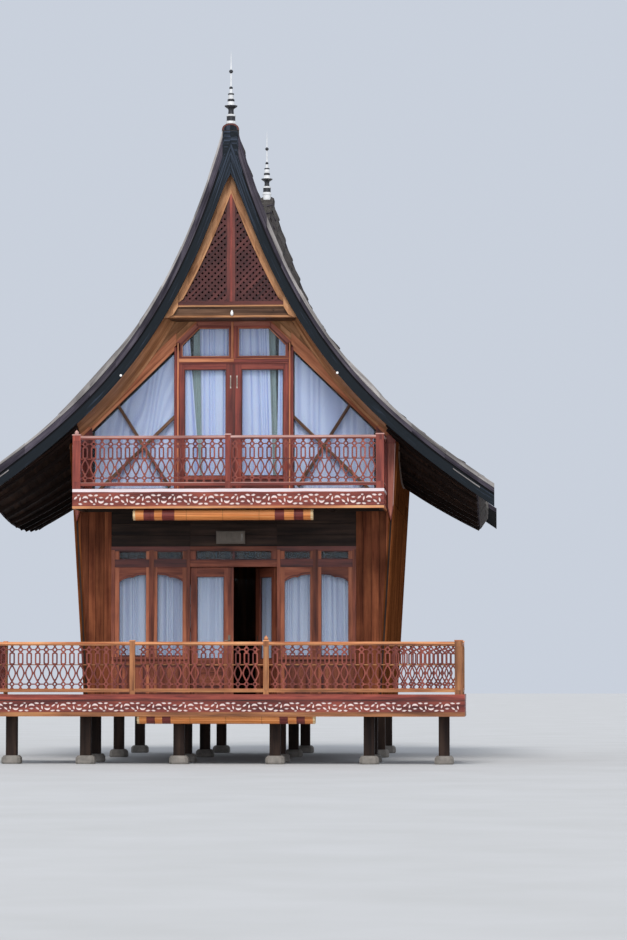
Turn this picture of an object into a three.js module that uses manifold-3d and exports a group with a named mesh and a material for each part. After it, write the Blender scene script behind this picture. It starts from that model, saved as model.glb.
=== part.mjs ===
// A two-storey timber guest house on short posts, with a steep saddle-backed roof, a glazed gable
// over a balcony, and a wider veranda in front of the lower storey.
// Millimetres, +Z up, +Y from the front to the back, X = 0 on the house's centre line.
import * as THREE from "three";
import { mergeVertices } from "three/addons/utils/BufferGeometryUtils.js";
import Module from "manifold-3d";

const wasm = await Module();
wasm.setup();

// Small gap between pieces that rest on each other.
const seatGap = 0.3;
// How far a cutting solid runs past what it cuts.
const cutMargin = 10;

// Levels
const groundLevel = 0;
const deckTop = 1100;
const floorThickness = 100;
const upperFloorTop = 4570;
const upperFloorBottom = 4450;

// Fronts and backs of the main planes
const verandaFront = -4650;
const balconyFront = -4130;
const roofFront = -3700;
const wallFront = -2980;
const wallRear = 3920;
const roofRear = 4650;

// Walls: the side walls lean outward as they rise.
const wallThickness = 90;
const sideWallThickness = 80;
const sideFoot = 2540;
const sideLean = 0.0605;
const gableThickness = 80;

// Roof: the end profile is a straight fall plus a peak that dies away, and the ridge and eaves sag.
const eaveHalfWidth = 4270;
const bargeHalfWidth = 4440;
const profileLevel = 7160;
const profileFall = 0.585;
const peakRise = 3940;
const peakWidth = 1220;
const ridgeSag = 1300;
const eaveSag = 480;
const roofThickness = 180;
const bargeThickness = 80;
const apexHeight = 10800;
const ridgeCapThickness = 70;
const ridgeCapHalfWidth = 150;
const ridgeSpaceFoot = 8900;
const finialHeight = 1250;
const finialFoot = 300;
const finialSetBack = 90;

// Doorway and its two leaves
const doorHalfWidth = 740;
const doorHeadLevel = 3310;
const leafSideClearance = 5;
const leafMeetingClearance = 3;
const leafFootClearance = 8;
const leafThickness = 45;
const rightLeafOpening = 60;
const hingeLevels = [1400, 2200, 3000];
const knuckleHeight = 40;
const knuckleRadius = 7;
const knuckleStandOff = 8;
const hingePlateThickness = 4;
const hingePlateSink = 1;
const hingePlateReach = 45;

// Veranda and balcony
const verandaHalfWidth = 3950;
const balconyHalfWidth = 2610;
const fasciaThickness = 40;
const verandaFasciaBottom = 790;
const balconyFasciaBottom = 4250;
const balconyFasciaTop = 4580;
const slatSpacing = 143;
const balconyPlankThickness = 90;
const joistHalfWidth = 35;

// Gable glazing: the central frame and the sloping line that closes the side glazing.
const upperDoorHalfWidth = 925;
const upperDoorHead = 6780;
const frameHalfWidth = 985;
const frameHeadLevel = 7509;
const frameHeadHalfWidth = 620;
const frameShoulderLevel = 7150;
const glazingLineStart = [1010, 7020];
const glazingLineEnd = [2430, 5640];
const sideFrameCover = 45;
const sideFrameStile = 35;
const sideFrameSill = 80;
const collarBottom = 7510;
const collarTop = 7770;
const collarHalfLength = 1300;
const ventFront = -3560;
const ventBack = -3500;
const ventHalfWidth = 870;
const ventApex = 9640;
const latticeSpacing = 214;

const woodRed = new THREE.MeshStandardMaterial({ color: 0x963c28, roughness: 0.45, metalness: 0 });
const woodGolden = new THREE.MeshStandardMaterial({ color: 0xaf6e3c, roughness: 0.5, metalness: 0 });
const woodBoard = new THREE.MeshStandardMaterial({ color: 0x6e4123, roughness: 0.6, metalness: 0 });
const woodDark = new THREE.MeshStandardMaterial({ color: 0x3c2823, roughness: 0.7, metalness: 0 });
const bargePaint = new THREE.MeshStandardMaterial({ color: 0x282d32, roughness: 0.55, metalness: 0 });
const roofCover = new THREE.MeshStandardMaterial({ color: 0x3a3634, roughness: 0.95, metalness: 0 });
const fretRed = new THREE.MeshStandardMaterial({ color: 0x8a3a26, roughness: 0.5, metalness: 0 });
const clearGlass = new THREE.MeshStandardMaterial({
  color: 0xbfd0d8,
  roughness: 0.05,
  metalness: 0,
  transparent: true,
  opacity: 0.35,
});
const curtainCloth = new THREE.MeshStandardMaterial({ color: 0xc8cce0, roughness: 0.9, metalness: 0 });
const blindCloth = new THREE.MeshStandardMaterial({ color: 0xd78246, roughness: 0.85, metalness: 0 });
const finialMetal = new THREE.MeshStandardMaterial({ color: 0xd8d8d8, roughness: 0.35, metalness: 0.6 });
const boxPlastic = new THREE.MeshStandardMaterial({ color: 0x8c857c, roughness: 0.6, metalness: 0 });

// Solids: joining, cutting and mirroring

function solidOf(geometry) {
  const bare = geometry.clone();
  for (const name of ["normal", "uv"]) {
    if (bare.getAttribute(name)) bare.deleteAttribute(name);
  }
  const merged = mergeVertices(bare, 1e-3);
  const mesh = new wasm.Mesh({
    numProp: 3,
    vertProperties: new Float32Array(merged.getAttribute("position").array),
    triVerts: new Uint32Array(merged.index.array),
  });
  return new wasm.Manifold(mesh);
}

function geometryOf(solid) {
  const mesh = solid.getMesh();
  const geometry = new THREE.BufferGeometry();
  geometry.setAttribute("position", new THREE.BufferAttribute(new Float32Array(mesh.vertProperties), 3));
  geometry.setIndex(new THREE.BufferAttribute(new Uint32Array(mesh.triVerts), 1));
  geometry.computeVertexNormals();
  return geometry;
}

function joined(...geometries) {
  return geometryOf(geometries.map(solidOf).reduce((whole, next) => whole.add(next)));
}

function cutBy(geometry, ...cutters) {
  return geometryOf(cutters.map(solidOf).reduce((whole, next) => whole.subtract(next), solidOf(geometry)));
}

function within(geometry, limit) {
  return geometryOf(solidOf(geometry).intersect(solidOf(limit)));
}

function mirrored(geometry) {
  const flipped = mergeVertices(geometry.clone().deleteAttribute("normal").deleteAttribute("uv"), 1e-3);
  flipped.scale(-1, 1, 1);
  const index = flipped.index.array;
  for (let i = 0; i < index.length; i += 3) {
    const first = index[i];
    index[i] = index[i + 1];
    index[i + 1] = first;
  }
  return flipped;
}

function block(xFrom, xTo, yFrom, yTo, zFrom, zTo) {
  const geometry = new THREE.BoxGeometry(xTo - xFrom, yTo - yFrom, zTo - zFrom);
  return geometry.translate((xFrom + xTo) / 2, (yFrom + yTo) / 2, (zFrom + zTo) / 2);
}

function outlineOf(points) {
  return new THREE.Shape(points.map(([x, z]) => new THREE.Vector2(x, z)));
}

// An upright plate: its outline is in X and Z, and its thickness runs from yFrom to yTo.
function plate(shape, yFrom, yTo) {
  const settings = { depth: yTo - yFrom, bevelEnabled: false, curveSegments: 6 };
  return new THREE.ExtrudeGeometry(shape, settings).rotateX(Math.PI / 2).translate(0, yTo, 0);
}

function rectangle(xFrom, xTo, zFrom, zTo) {
  return outlineOf([[xFrom, zFrom], [xTo, zFrom], [xTo, zTo], [xFrom, zTo]]);
}

// An upright plate with openings cut right through it.
function openPlate(shape, openings, yFrom, yTo) {
  const cutters = openings.map((opening) => plate(opening, yFrom - cutMargin, yTo + cutMargin));
  return cutBy(plate(shape, yFrom, yTo), ...cutters);
}

// Meshes

const house = new THREE.Group();

function place(name, geometry, material) {
  const mesh = new THREE.Mesh(geometry, material);
  mesh.name = name;
  house.add(mesh);
}

function placePair(name, rightGeometry, material) {
  place(`${name}_right`, rightGeometry, material);
  place(`${name}_left`, mirrored(rightGeometry), material);
}

// Shape of the roof

function sagShare(y) {
  const along = (y - roofFront) / (roofRear - roofFront);
  return 4 * along * (1 - along);
}

function profileHeight(x) {
  return profileLevel - profileFall * x + peakRise * Math.exp(-x / peakWidth);
}

function profileSlope(x) {
  return -profileFall - (peakRise / peakWidth) * Math.exp(-x / peakWidth);
}

function sagAt(x, y) {
  return sagShare(y) * THREE.MathUtils.lerp(ridgeSag, eaveSag, x / bargeHalfWidth);
}

function roofTop(x, y) {
  return Math.min(profileHeight(x) - sagAt(x, y), ridgeCapTop(x, y) - ridgeCapThickness);
}

function ridgeCapTop(x, y) {
  return apexHeight - sagAt(0, y);
}

function belowProfile(x, depth) {
  return profileHeight(x) - depth * Math.hypot(1, profileSlope(x));
}

function roofUnderside(x, y) {
  return belowProfile(x, roofThickness) - sagAt(x, y);
}

// A solid over a rectangle of the plan, from zFrom up to a height that varies.
function solidUnder(height, [xFrom, xTo], [yFrom, yTo], [xSteps, ySteps], zFrom, crowding = 1) {
  const geometry = new THREE.BoxGeometry(1, 1, 1, xSteps, ySteps, 1);
  const spots = geometry.getAttribute("position");
  for (let i = 0; i < spots.count; i += 1) {
    const x = THREE.MathUtils.lerp(xFrom, xTo, Math.pow(spots.getX(i) + 0.5, crowding));
    const y = THREE.MathUtils.lerp(yFrom, yTo, spots.getY(i) + 0.5);
    spots.setXYZ(i, x, y, spots.getZ(i) > 0 ? height(x, y) : zFrom);
  }
  return geometry;
}

const slabFront = roofFront + bargeThickness + seatGap;
const slabRear = roofRear - bargeThickness - seatGap;
const roofSteps = [14, 12];
const ridgeCrowding = 1.5;

// Everything on the right half from the ground up to a height that varies.
function halfUnder(height) {
  const width = [0, eaveHalfWidth];
  return solidUnder(height, width, [slabFront, slabRear], roofSteps, groundLevel, ridgeCrowding);
}

function underRoofHalf(drop) {
  return halfUnder((x, y) => roofUnderside(x, y) - drop);
}

// The whole space under the roof, with a hair's clearance: walls and gables are trimmed to it.
const trimClearance = 1;
const trimHalf = underRoofHalf(trimClearance);
const underRoof = joined(trimHalf, mirrored(trimHalf));

function belowRoofTop(rise) {
  return halfUnder((x, y) => roofTop(x, y) + rise);
}

function roofHalf() {
  const from = slabFront - cutMargin;
  const centreSliver = block(-cutMargin, seatGap, from, slabRear + cutMargin, groundLevel, apexHeight);
  return cutBy(belowRoofTop(0), underRoofHalf(0), centreSliver);
}

function ridgeSpace(drop, zFrom) {
  const span = [-ridgeCapHalfWidth, ridgeCapHalfWidth];
  const height = (x, y) => ridgeCapTop(x, y) - drop;
  return solidUnder(height, span, [roofFront, roofRear], [1, roofSteps[1]], zFrom);
}

// Level of the flat that both barge boards of a gable leave for the ridge cap.
const bargeSeat = ridgeCapTop(0, roofFront + bargeThickness) - ridgeCapThickness;

function ridgeCap() {
  const below = belowRoofTop(seatGap);
  const width = ridgeCapHalfWidth + cutMargin;
  const frontSeat = block(-width, width, roofFront - cutMargin, slabFront, groundLevel, bargeSeat);
  const rearSeat = block(-width, width, slabRear, roofRear + cutMargin, groundLevel, bargeSeat);
  return cutBy(ridgeSpace(0, ridgeSpaceFoot), below, mirrored(below), frontSeat, rearSeat);
}

// Barge boards: a deep curved board at each verge, a little deeper towards its tip and at the peak.
const bargeTopDepth = 250;
const bargeTipDepth = 317;
const bargePeakDepth = 45;
const bargePeakWidth = 100;
const bargeSteps = 18;

function bargeDepth(x) {
  const evenly = THREE.MathUtils.lerp(bargeTopDepth, bargeTipDepth, x / bargeHalfWidth);
  return evenly + bargePeakDepth * Math.exp(-x / bargePeakWidth);
}

function bargeBoard(yFrom) {
  const upper = [];
  const lower = [];
  for (let i = 0; i <= bargeSteps; i += 1) {
    const x = THREE.MathUtils.lerp(seatGap, bargeHalfWidth, Math.pow(i / bargeSteps, ridgeCrowding));
    upper.push([x, Math.min(profileHeight(x), bargeSeat - seatGap)]);
    lower.push([x, belowProfile(x, bargeDepth(x))]);
  }
  return plate(outlineOf([...lower, ...upper.reverse()]), yFrom, yFrom + bargeThickness);
}

// Finial: stacked drums and discs under a thin needle.
const turnedSides = 12;

function finial(y) {
  const profile = [
    [0, -finialFoot], [75, -finialFoot], [75, 0], [85, 0], [85, 60], [70, 80], [70, 170],
    [50, 190], [50, 260], [110, 300], [110, 325], [60, 345], [60, 430], [52, 440], [52, 520],
    [30, 540], [30, 640], [12, 660], [12, 870], [35, 890], [35, 920], [12, 940],
    [6, finialHeight], [0, finialHeight],
  ];
  const turned = new THREE.LatheGeometry(profile.map(([r, z]) => new THREE.Vector2(r, z)), turnedSides);
  turned.rotateX(Math.PI / 2).translate(0, y, apexHeight);
  return cutBy(turned, ridgeSpace(-seatGap, ridgeSpaceFoot));
}

// Ground posts: each row is a beam on square posts with stone feet.
const postHalfWidth = 90;
const footHalfWidth = 160;
const footHeight = 140;
const beamHeight = 200;
const beamHalfWidth = 75;
const beamTop = deckTop - floorThickness - seatGap;

function squareBlock(x, y, halfWidth, zFrom, zTo) {
  return block(x - halfWidth, x + halfWidth, y - halfWidth, y + halfWidth, zFrom, zTo);
}

function postRow(y, postPlaces, beamHalfLength) {
  const beamEnds = [-beamHalfLength, beamHalfLength, y - beamHalfWidth, y + beamHalfWidth];
  const beam = block(...beamEnds, beamTop - beamHeight, beamTop);
  const [postFoot, postTop] = [footHeight / 2, beamTop - beamHeight / 2];
  const posts = postPlaces.map((x) => squareBlock(x, y, postHalfWidth, postFoot, postTop));
  const feet = postPlaces.map((x) => squareBlock(x, y, footHalfWidth, groundLevel, footHeight));
  return joined(beam, ...posts, ...feet);
}

const houseRow = [-2360, -800, 800, 2360];
const verandaRow = [-3600, ...houseRow, 3600];
const rowSpacing = 3350;
const frontRow = wallFront + 80;
const verandaRowLine = verandaFront + 500;

function groundFrame() {
  const houseBeam = sideFoot - 20;
  place("post_row_veranda", postRow(verandaRowLine, verandaRow, verandaHalfWidth - 100), woodDark);
  place("post_row_front", postRow(frontRow, houseRow, houseBeam), woodDark);
  place("post_row_middle", postRow(frontRow + rowSpacing, houseRow, houseBeam), woodDark);
  place("post_row_rear", postRow(frontRow + 2 * rowSpacing, houseRow, houseBeam), woodDark);
}

// Walls

function sideOuter(z) {
  return sideFoot + (z - deckTop) * sideLean;
}

function sideInner(z) {
  return sideOuter(z) - sideWallThickness - seatGap;
}

function sideWall() {
  const foot = deckTop + seatGap;
  // Well above the roof's underside, which trims the wall.
  const tip = 6600;
  const outline = outlineOf([
    [sideOuter(foot) - sideWallThickness, foot],
    [sideOuter(foot), foot],
    [sideOuter(tip), tip],
    [sideOuter(tip) - sideWallThickness, tip],
  ]);
  return within(plate(outline, wallFront, wallRear), underRoof);
}

// A window pair: each pane's top edge rises in a curve towards the pair's middle.
const paneSill = 1780;
const paneOuterTop = 3090;
const paneInnerTop = 3170;
const transomBottom = 3440;
const transomTop = 3580;
const panePlaces = [[890, 1320], [1520, 1970]];

function archedPane(lowSide, highSide) {
  const pane = new THREE.Shape();
  pane.moveTo(lowSide, paneSill);
  pane.lineTo(highSide, paneSill);
  pane.lineTo(highSide, paneInnerTop);
  const bend = THREE.MathUtils.lerp(lowSide, highSide, 0.3);
  pane.quadraticCurveTo(bend, paneInnerTop, lowSide, paneOuterTop);
  return pane;
}

function lowerFront() {
  const foot = deckTop + seatGap;
  const top = upperFloorBottom - seatGap;
  const sheet = outlineOf([
    [doorHalfWidth, foot], [sideInner(foot), foot], [sideInner(top), top], [doorHalfWidth, top],
  ]);
  const [[firstLeft, firstRight], [secondLeft, secondRight]] = panePlaces;
  const openings = [
    archedPane(firstLeft, firstRight),
    archedPane(secondRight, secondLeft),
    rectangle(firstLeft, firstRight, transomBottom, transomTop),
    rectangle(secondLeft, secondRight, transomBottom, transomTop),
  ];
  const wall = openPlate(sheet, openings, wallFront, wallFront + wallThickness);
  const hinges = hingeLevels.map((level) => hingeHalf(level, doorHalfWidth, hingeX + hingePlateReach));
  return joined(wall, ...hinges);
}

// Half a hinge: a knuckle on the door's axis, and a plate let into the inner face beside it.
const hingeX = doorHalfWidth - leafSideClearance / 2;
const hingeY = wallFront + wallThickness + knuckleStandOff;

function hingeHalf(foot, plateFrom, plateTo) {
  const top = foot + knuckleHeight;
  const knuckle = new THREE.CylinderGeometry(knuckleRadius, knuckleRadius, knuckleHeight, turnedSides);
  knuckle.rotateX(Math.PI / 2).translate(hingeX, hingeY, (foot + top) / 2);
  const woodFace = wallFront + wallThickness;
  const plateFace = woodFace + hingePlateThickness;
  const letIn = block(plateFrom, plateTo, woodFace - hingePlateSink, plateFace, foot, top);
  const proudFrom = Math.min(plateFrom, hingeX);
  const proudTo = Math.max(plateTo, hingeX);
  const proud = block(proudFrom, proudTo, woodFace + hingePlateSink, plateFace, foot, top);
  return joined(knuckle, proud, letIn);
}

const headTransomHalfWidth = 640;

function doorHead() {
  const halfWidth = doorHalfWidth - seatGap;
  const sheet = rectangle(-halfWidth, halfWidth, doorHeadLevel, upperFloorBottom - seatGap);
  const transom = rectangle(-headTransomHalfWidth, headTransomHalfWidth, transomBottom, transomTop);
  return openPlate(sheet, [transom], wallFront, wallFront + wallThickness);
}

const glassThickness = 6;
const glassLap = 60;

// One sheet of glass closes the lower front's windows and runs round the doorway.
function lowerGlass() {
  const inside = wallFront + wallThickness + seatGap;
  const doorSide = doorHalfWidth + glassLap;
  const doorTop = doorHeadLevel + glassLap;
  const side = panePlaces[1][1] + glassLap;
  const sill = paneSill - glassLap;
  const head = transomTop + glassLap;
  const sheet = outlineOf([
    [-side, sill], [-doorSide, sill], [-doorSide, doorTop], [doorSide, doorTop],
    [doorSide, sill], [side, sill], [side, head], [-side, head],
  ]);
  return plate(sheet, inside, inside + glassThickness);
}

const rearWindow = { inner: 650, outer: 1550, sill: 1950, head: 3250 };

function rearWall() {
  const foot = deckTop + seatGap;
  const top = upperFloorBottom - seatGap;
  const sheet = outlineOf([
    [-sideInner(foot), foot], [sideInner(foot), foot], [sideInner(top), top], [-sideInner(top), top],
  ]);
  const { inner, outer, sill, head } = rearWindow;
  const windows = [rectangle(inner, outer, sill, head), rectangle(-outer, -inner, sill, head)];
  return openPlate(sheet, windows, wallRear - sideWallThickness, wallRear);
}

function rearGlass() {
  const outside = wallRear - sideWallThickness - seatGap;
  const side = rearWindow.outer + glassLap;
  const sheet = rectangle(-side, side, rearWindow.sill - glassLap, rearWindow.head + glassLap);
  return plate(sheet, outside - glassThickness, outside);
}

// Entrance door leaves, drawn closed on the right with their hinge edge beside the jamb
const leafEdge = doorHalfWidth - leafSideClearance;
const leafBack = wallFront + wallThickness;
const leafFoot = deckTop + leafFootClearance;
const leafTop = doorHeadLevel - leafFootClearance;
const leafPane = { left: 163, right: 627, bottom: 1750, top: 3150 };

function leafFrame() {
  const sheet = rectangle(leafMeetingClearance, leafEdge, leafFoot, leafTop);
  const pane = rectangle(leafPane.left, leafPane.right, leafPane.bottom, leafPane.top);
  const leaf = openPlate(sheet, [pane], leafBack - leafThickness, leafBack);
  const hinges = hingeLevels.map((level) =>
    hingeHalf(level + knuckleHeight + seatGap, hingeX - hingePlateReach, hingeX));
  return joined(leaf, ...hinges);
}

function leafGlass() {
  const middle = leafBack - leafThickness / 2;
  const sheet = rectangle(
    leafPane.left + seatGap,
    leafPane.right - seatGap,
    leafPane.bottom + seatGap,
    leafPane.top - seatGap,
  );
  return plate(sheet, middle - glassThickness / 2, middle + glassThickness / 2);
}

// A thin curtain hangs flat against the room side of each leaf, over its pane.
const leafCurtainThickness = 20;
const leafCurtainLap = 40;

function leafCurtain() {
  const front = leafBack + seatGap;
  const sheet = rectangle(
    leafPane.left - leafCurtainLap,
    leafPane.right + leafCurtainLap,
    leafPane.bottom - leafCurtainLap,
    leafPane.top + leafCurtainLap,
  );
  return plate(sheet, front, front + leafCurtainThickness);
}

// Turns a closed right leaf inward about its hinge line.
function swungOpen(geometry) {
  geometry.translate(-hingeX, -hingeY, 0);
  return geometry.rotateZ(THREE.MathUtils.degToRad(-rightLeafOpening)).translate(hingeX, hingeY, 0);
}

function entranceDoors() {
  place("door_right_frame", swungOpen(leafFrame()), woodRed);
  place("door_right_glass", swungOpen(leafGlass()), clearGlass);
  place("door_left_frame", mirrored(leafFrame()), woodRed);
  place("door_left_glass", mirrored(leafGlass()), clearGlass);
  place("door_right_curtain", swungOpen(leafCurtain()), curtainCloth);
  place("door_left_curtain", mirrored(leafCurtain()), curtainCloth);
}

// Curtains hang as plain slabs behind the glass.
const curtainThickness = 50;
const curtainLap = 60;
const curtainDrop = 130;
const curtainRise = 120;

function lowerCurtain() {
  const front = wallFront + wallThickness + glassThickness + 2 * seatGap;
  const from = panePlaces[0][0] - curtainLap;
  const to = panePlaces[1][1] + curtainLap;
  const sheet = rectangle(from, to, paneSill - curtainDrop, paneInnerTop + curtainRise);
  return plate(sheet, front, front + curtainThickness);
}

function lowerStorey() {
  const floor = block(-sideFoot, sideFoot, wallFront, wallRear, deckTop - floorThickness, deckTop);
  place("lower_floor", floor, woodBoard);
  placePair("lower_front", lowerFront(), woodRed);
  place("door_head", doorHead(), woodRed);
  placePair("side_wall", sideWall(), woodBoard);
  place("lower_rear_wall", rearWall(), woodBoard);
  place("lower_window_glass", lowerGlass(), clearGlass);
  place("rear_window_glass", rearGlass(), clearGlass);
  placePair("lower_curtain", lowerCurtain(), curtainCloth);
  entranceDoors();
}

// Railings: a panel of slats between rails, drawn from x = 0 along +X, with its back at y = 0.
const handrailDepth = 60;
const handrailHeight = 60;
const middleRail = { halfDepth: 20, halfHeight: 20 };
const footRail = { halfDepth: 25, height: 50 };
const slat = { halfWidth: 25, halfDepth: 10, tenon: 20 };
const railPostDepth = 65;
const railPostRise = 10;
const knobProfile = [[0, -20], [22, -20], [22, 15], [38, 45], [30, 80], [8, 105], [0, 105]];
const knobSides = 8;

function slats(length, rails) {
  const count = Math.floor(length / slatSpacing);
  const first = (length - (count - 1) * slatSpacing) / 2;
  const middle = -handrailDepth / 2;
  const [front, back] = [middle - slat.halfDepth, middle + slat.halfDepth];
  return Array.from({ length: count }, (_, i) => {
    const x = first + i * slatSpacing;
    const [from, to] = [x - slat.halfWidth, x + slat.halfWidth];
    return block(from, to, front, back, rails.bottom + slat.tenon, rails.top - slat.tenon);
  });
}

function postKnob(x, level) {
  const outline = knobProfile.map(([r, z]) => new THREE.Vector2(r, z));
  const knob = new THREE.LatheGeometry(outline, knobSides);
  return knob.rotateX(Math.PI / 2).translate(x, -handrailDepth / 2, level);
}

function railing(length, foot, rails, postPlaces, knobPlaces = []) {
  const middle = -handrailDepth / 2;
  const { halfDepth, halfHeight } = middleRail;
  const middleRailEnds = [0, length, middle - halfDepth, middle + halfDepth];
  const footRailEnds = [0, length, middle - footRail.halfDepth, middle + footRail.halfDepth];
  const posts = postPlaces.map(([x, width]) =>
    block(x - width / 2, x + width / 2, -railPostDepth, 0, foot, rails.top + railPostRise));
  return joined(
    block(0, length, -handrailDepth, 0, rails.top - handrailHeight, rails.top),
    block(...middleRailEnds, rails.middle - halfHeight, rails.middle + halfHeight),
    block(...footRailEnds, rails.bottom, rails.bottom + footRail.height),
    ...slats(length, rails),
    ...posts,
    ...knobPlaces.map((x) => postKnob(x, rails.top)),
  );
}

// Turns a railing that runs along +X so that it runs back along +Y, with its outer face outward.
function turnedBack(geometry, x, y) {
  return geometry.rotateZ(Math.PI / 2).translate(x, y, 0);
}

const verandaRails = { top: 2020, middle: 1630, bottom: 1190 };
const balconyRails = { top: 5470, middle: 5060, bottom: 4630 };
const cornerPostWidth = 135;
const middlePostWidth = 90;
const sidePostWidth = 80;

function fascia(halfWidth, front, back, bottom, top) {
  const inner = halfWidth - fasciaThickness;
  const sideFront = front + fasciaThickness / 2;
  return joined(
    block(-halfWidth, halfWidth, front, front + fasciaThickness, bottom, top),
    block(inner, halfWidth, sideFront, back, bottom, top),
    block(-halfWidth, -inner, sideFront, back, bottom, top),
  );
}

// The veranda's railing stands a little inside the fascia on all sides.
const verandaRailInset = 30;
const verandaRailSetBack = 20;
const verandaPosts = { left: -1535, right: 680 };
const returnRailClearance = 5;
const returnRailLap = 25;

function verandaRailings() {
  const foot = deckTop + seatGap;
  const outerFace = verandaHalfWidth - verandaRailInset;
  const back = verandaFront + railPostDepth + verandaRailSetBack;
  const corner = cornerPostWidth / 2;
  const length = 2 * outerFace;
  const knobbed = outerFace + verandaPosts.right;
  const posts = [
    [corner, cornerPostWidth],
    [outerFace + verandaPosts.left, middlePostWidth],
    [knobbed, middlePostWidth],
    [length - corner, cornerPostWidth],
  ];
  const front = railing(length, foot, verandaRails, posts, [knobbed]);
  place("veranda_rail_front", front.translate(-outerFace, back, 0), fretRed);
  const sideStart = back + seatGap;
  const sideLength = wallFront - sideStart;
  const side = railing(sideLength, foot, verandaRails, [[sideLength - sidePostWidth / 2, sidePostWidth]]);
  const sidePanel = turnedBack(side, outerFace - railPostDepth, sideStart);
  place("veranda_rail_left", mirrored(sidePanel), fretRed);
  // On the right a short return closes the gap between the side railing and the house.
  const returnStart = sideOuter(verandaRails.top) + returnRailClearance;
  const returnEnd = outerFace - railPostDepth + returnRailLap;
  const closing = railing(returnEnd - returnStart, foot, verandaRails, []);
  closing.translate(returnStart, wallFront, 0);
  place("veranda_rail_right", joined(sidePanel, closing), fretRed);
}

function veranda() {
  const deckFront = verandaFront + fasciaThickness + seatGap;
  const side = verandaHalfWidth - fasciaThickness - seatGap;
  const deck = block(-side, side, deckFront, wallFront - seatGap, deckTop - floorThickness, deckTop);
  place("veranda_deck", deck, woodBoard);
  const sheet = fascia(verandaHalfWidth, verandaFront, wallFront, verandaFasciaBottom, deckTop);
  place("veranda_fascia", sheet, fretRed);
  verandaRailings();
}

// Rolled blinds: one under the balcony's fascia and one under the veranda's.
const rollSides = 16;
const upperRoll = { from: -1610, to: 1430, radius: 100, setBack: 150 };
const lowerRoll = { from: -1470, to: 1500, radius: 105, level: 765 };

function rolledBlind(roll, y, z) {
  const cylinder = new THREE.CylinderGeometry(roll.radius, roll.radius, roll.to - roll.from, rollSides);
  return cylinder.rotateZ(Math.PI / 2).translate((roll.from + roll.to) / 2, y, z);
}

function blinds() {
  const upperLevel = balconyFasciaBottom - seatGap - upperRoll.radius;
  place("blind_upper", rolledBlind(upperRoll, balconyFront + upperRoll.setBack, upperLevel), blindCloth);
  // The lower roll leans against the inner edge of the fascia, a little below it.
  const flatRadius = lowerRoll.radius * Math.cos(Math.PI / rollSides) + 2 * seatGap;
  const setBack = Math.sqrt(flatRadius ** 2 - (verandaFasciaBottom - lowerRoll.level) ** 2);
  const lowerY = verandaFront + fasciaThickness + setBack;
  place("blind_lower", rolledBlind(lowerRoll, lowerY, lowerRoll.level), blindCloth);
}

function balconyDeck() {
  const front = balconyFront + fasciaThickness + seatGap;
  const side = balconyHalfWidth - fasciaThickness - seatGap;
  const back = wallFront - seatGap;
  const joistTop = upperFloorTop - balconyPlankThickness / 2;
  const joists = [-2500, -1720, -860, 0, 860, 1720, 2500].map((x) =>
    block(x - joistHalfWidth, x + joistHalfWidth, front, back, balconyFasciaBottom, joistTop));
  const rim = block(-side, side, front, front + 2 * joistHalfWidth, balconyFasciaBottom, joistTop);
  const planks = block(-side, side, front, back, upperFloorTop - balconyPlankThickness, upperFloorTop);
  return joined(planks, rim, ...joists);
}

function balcony() {
  const wallFace = wallFront - seatGap;
  place("balcony_deck", balconyDeck(), woodDark);
  const sheet = fascia(balconyHalfWidth, balconyFront, wallFace, balconyFasciaBottom, balconyFasciaTop);
  place("balcony_fascia", sheet, fretRed);
  const foot = balconyFasciaTop + seatGap;
  const length = 2 * balconyHalfWidth;
  const corner = cornerPostWidth / 2;
  const posts = [
    [corner, cornerPostWidth],
    [length / 2, middlePostWidth],
    [length - corner, cornerPostWidth],
  ];
  const front = railing(length, foot, balconyRails, posts, [corner]);
  place("balcony_rail_front", front.translate(-balconyHalfWidth, balconyFront + railPostDepth, 0), fretRed);
  const sideStart = balconyFront + railPostDepth + seatGap;
  const sideLength = wallFace - sideStart;
  const side = railing(sideLength, foot, balconyRails, [[sideLength - sidePostWidth / 2, sidePostWidth]]);
  placePair("balcony_rail", turnedBack(side, balconyHalfWidth - railPostDepth, sideStart), fretRed);
}

// Upper storey

const glazingSlope = (glazingLineEnd[1] - glazingLineStart[1]) / (glazingLineEnd[0] - glazingLineStart[0]);

// Height of the sloping line that closes the side glazing, moved up square to itself by an offset.
function glazingLine(x, offset) {
  const [startX, startZ] = glazingLineStart;
  return startZ + glazingSlope * (x - startX) + offset * Math.hypot(1, glazingSlope);
}

// Where that line meets the inner face of the leaning side wall.
function glazingCorner(offset) {
  const x = sideInner(glazingLine(0, offset)) / (1 - sideLean * glazingSlope);
  return [x, glazingLine(x, offset)];
}

// The pane over each upper door leaf has one corner cut off.
const transomPane = [[65, 6900], [880, 6900], [880, 7110], [590, 7390], [65, 7390]];

function gableDoorFrame() {
  const foot = upperFloorTop + seatGap;
  const sheet = outlineOf([
    [-frameHalfWidth, foot], [-upperDoorHalfWidth, foot], [-upperDoorHalfWidth, upperDoorHead],
    [upperDoorHalfWidth, upperDoorHead], [upperDoorHalfWidth, foot],
    [frameHalfWidth, foot], [frameHalfWidth, frameShoulderLevel], [frameHeadHalfWidth, frameHeadLevel],
    [-frameHeadHalfWidth, frameHeadLevel], [-frameHalfWidth, frameShoulderLevel],
  ]);
  const panes = [outlineOf(transomPane), outlineOf(transomPane.map(([x, z]) => [-x, z]))];
  return openPlate(sheet, panes, wallFront, wallFront + gableThickness);
}

const upperPane = { left: 145, right: 865, bottom: 4860, top: 6680 };
const upperDoorSetBack = 15;

function upperDoor() {
  const right = upperDoorHalfWidth - seatGap;
  const sheet = rectangle(seatGap, right, upperFloorTop + seatGap, upperDoorHead - seatGap);
  const pane = rectangle(upperPane.left, upperPane.right, upperPane.bottom, upperPane.top);
  const front = wallFront + upperDoorSetBack;
  return openPlate(sheet, [pane], front, front + leafThickness);
}

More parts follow.
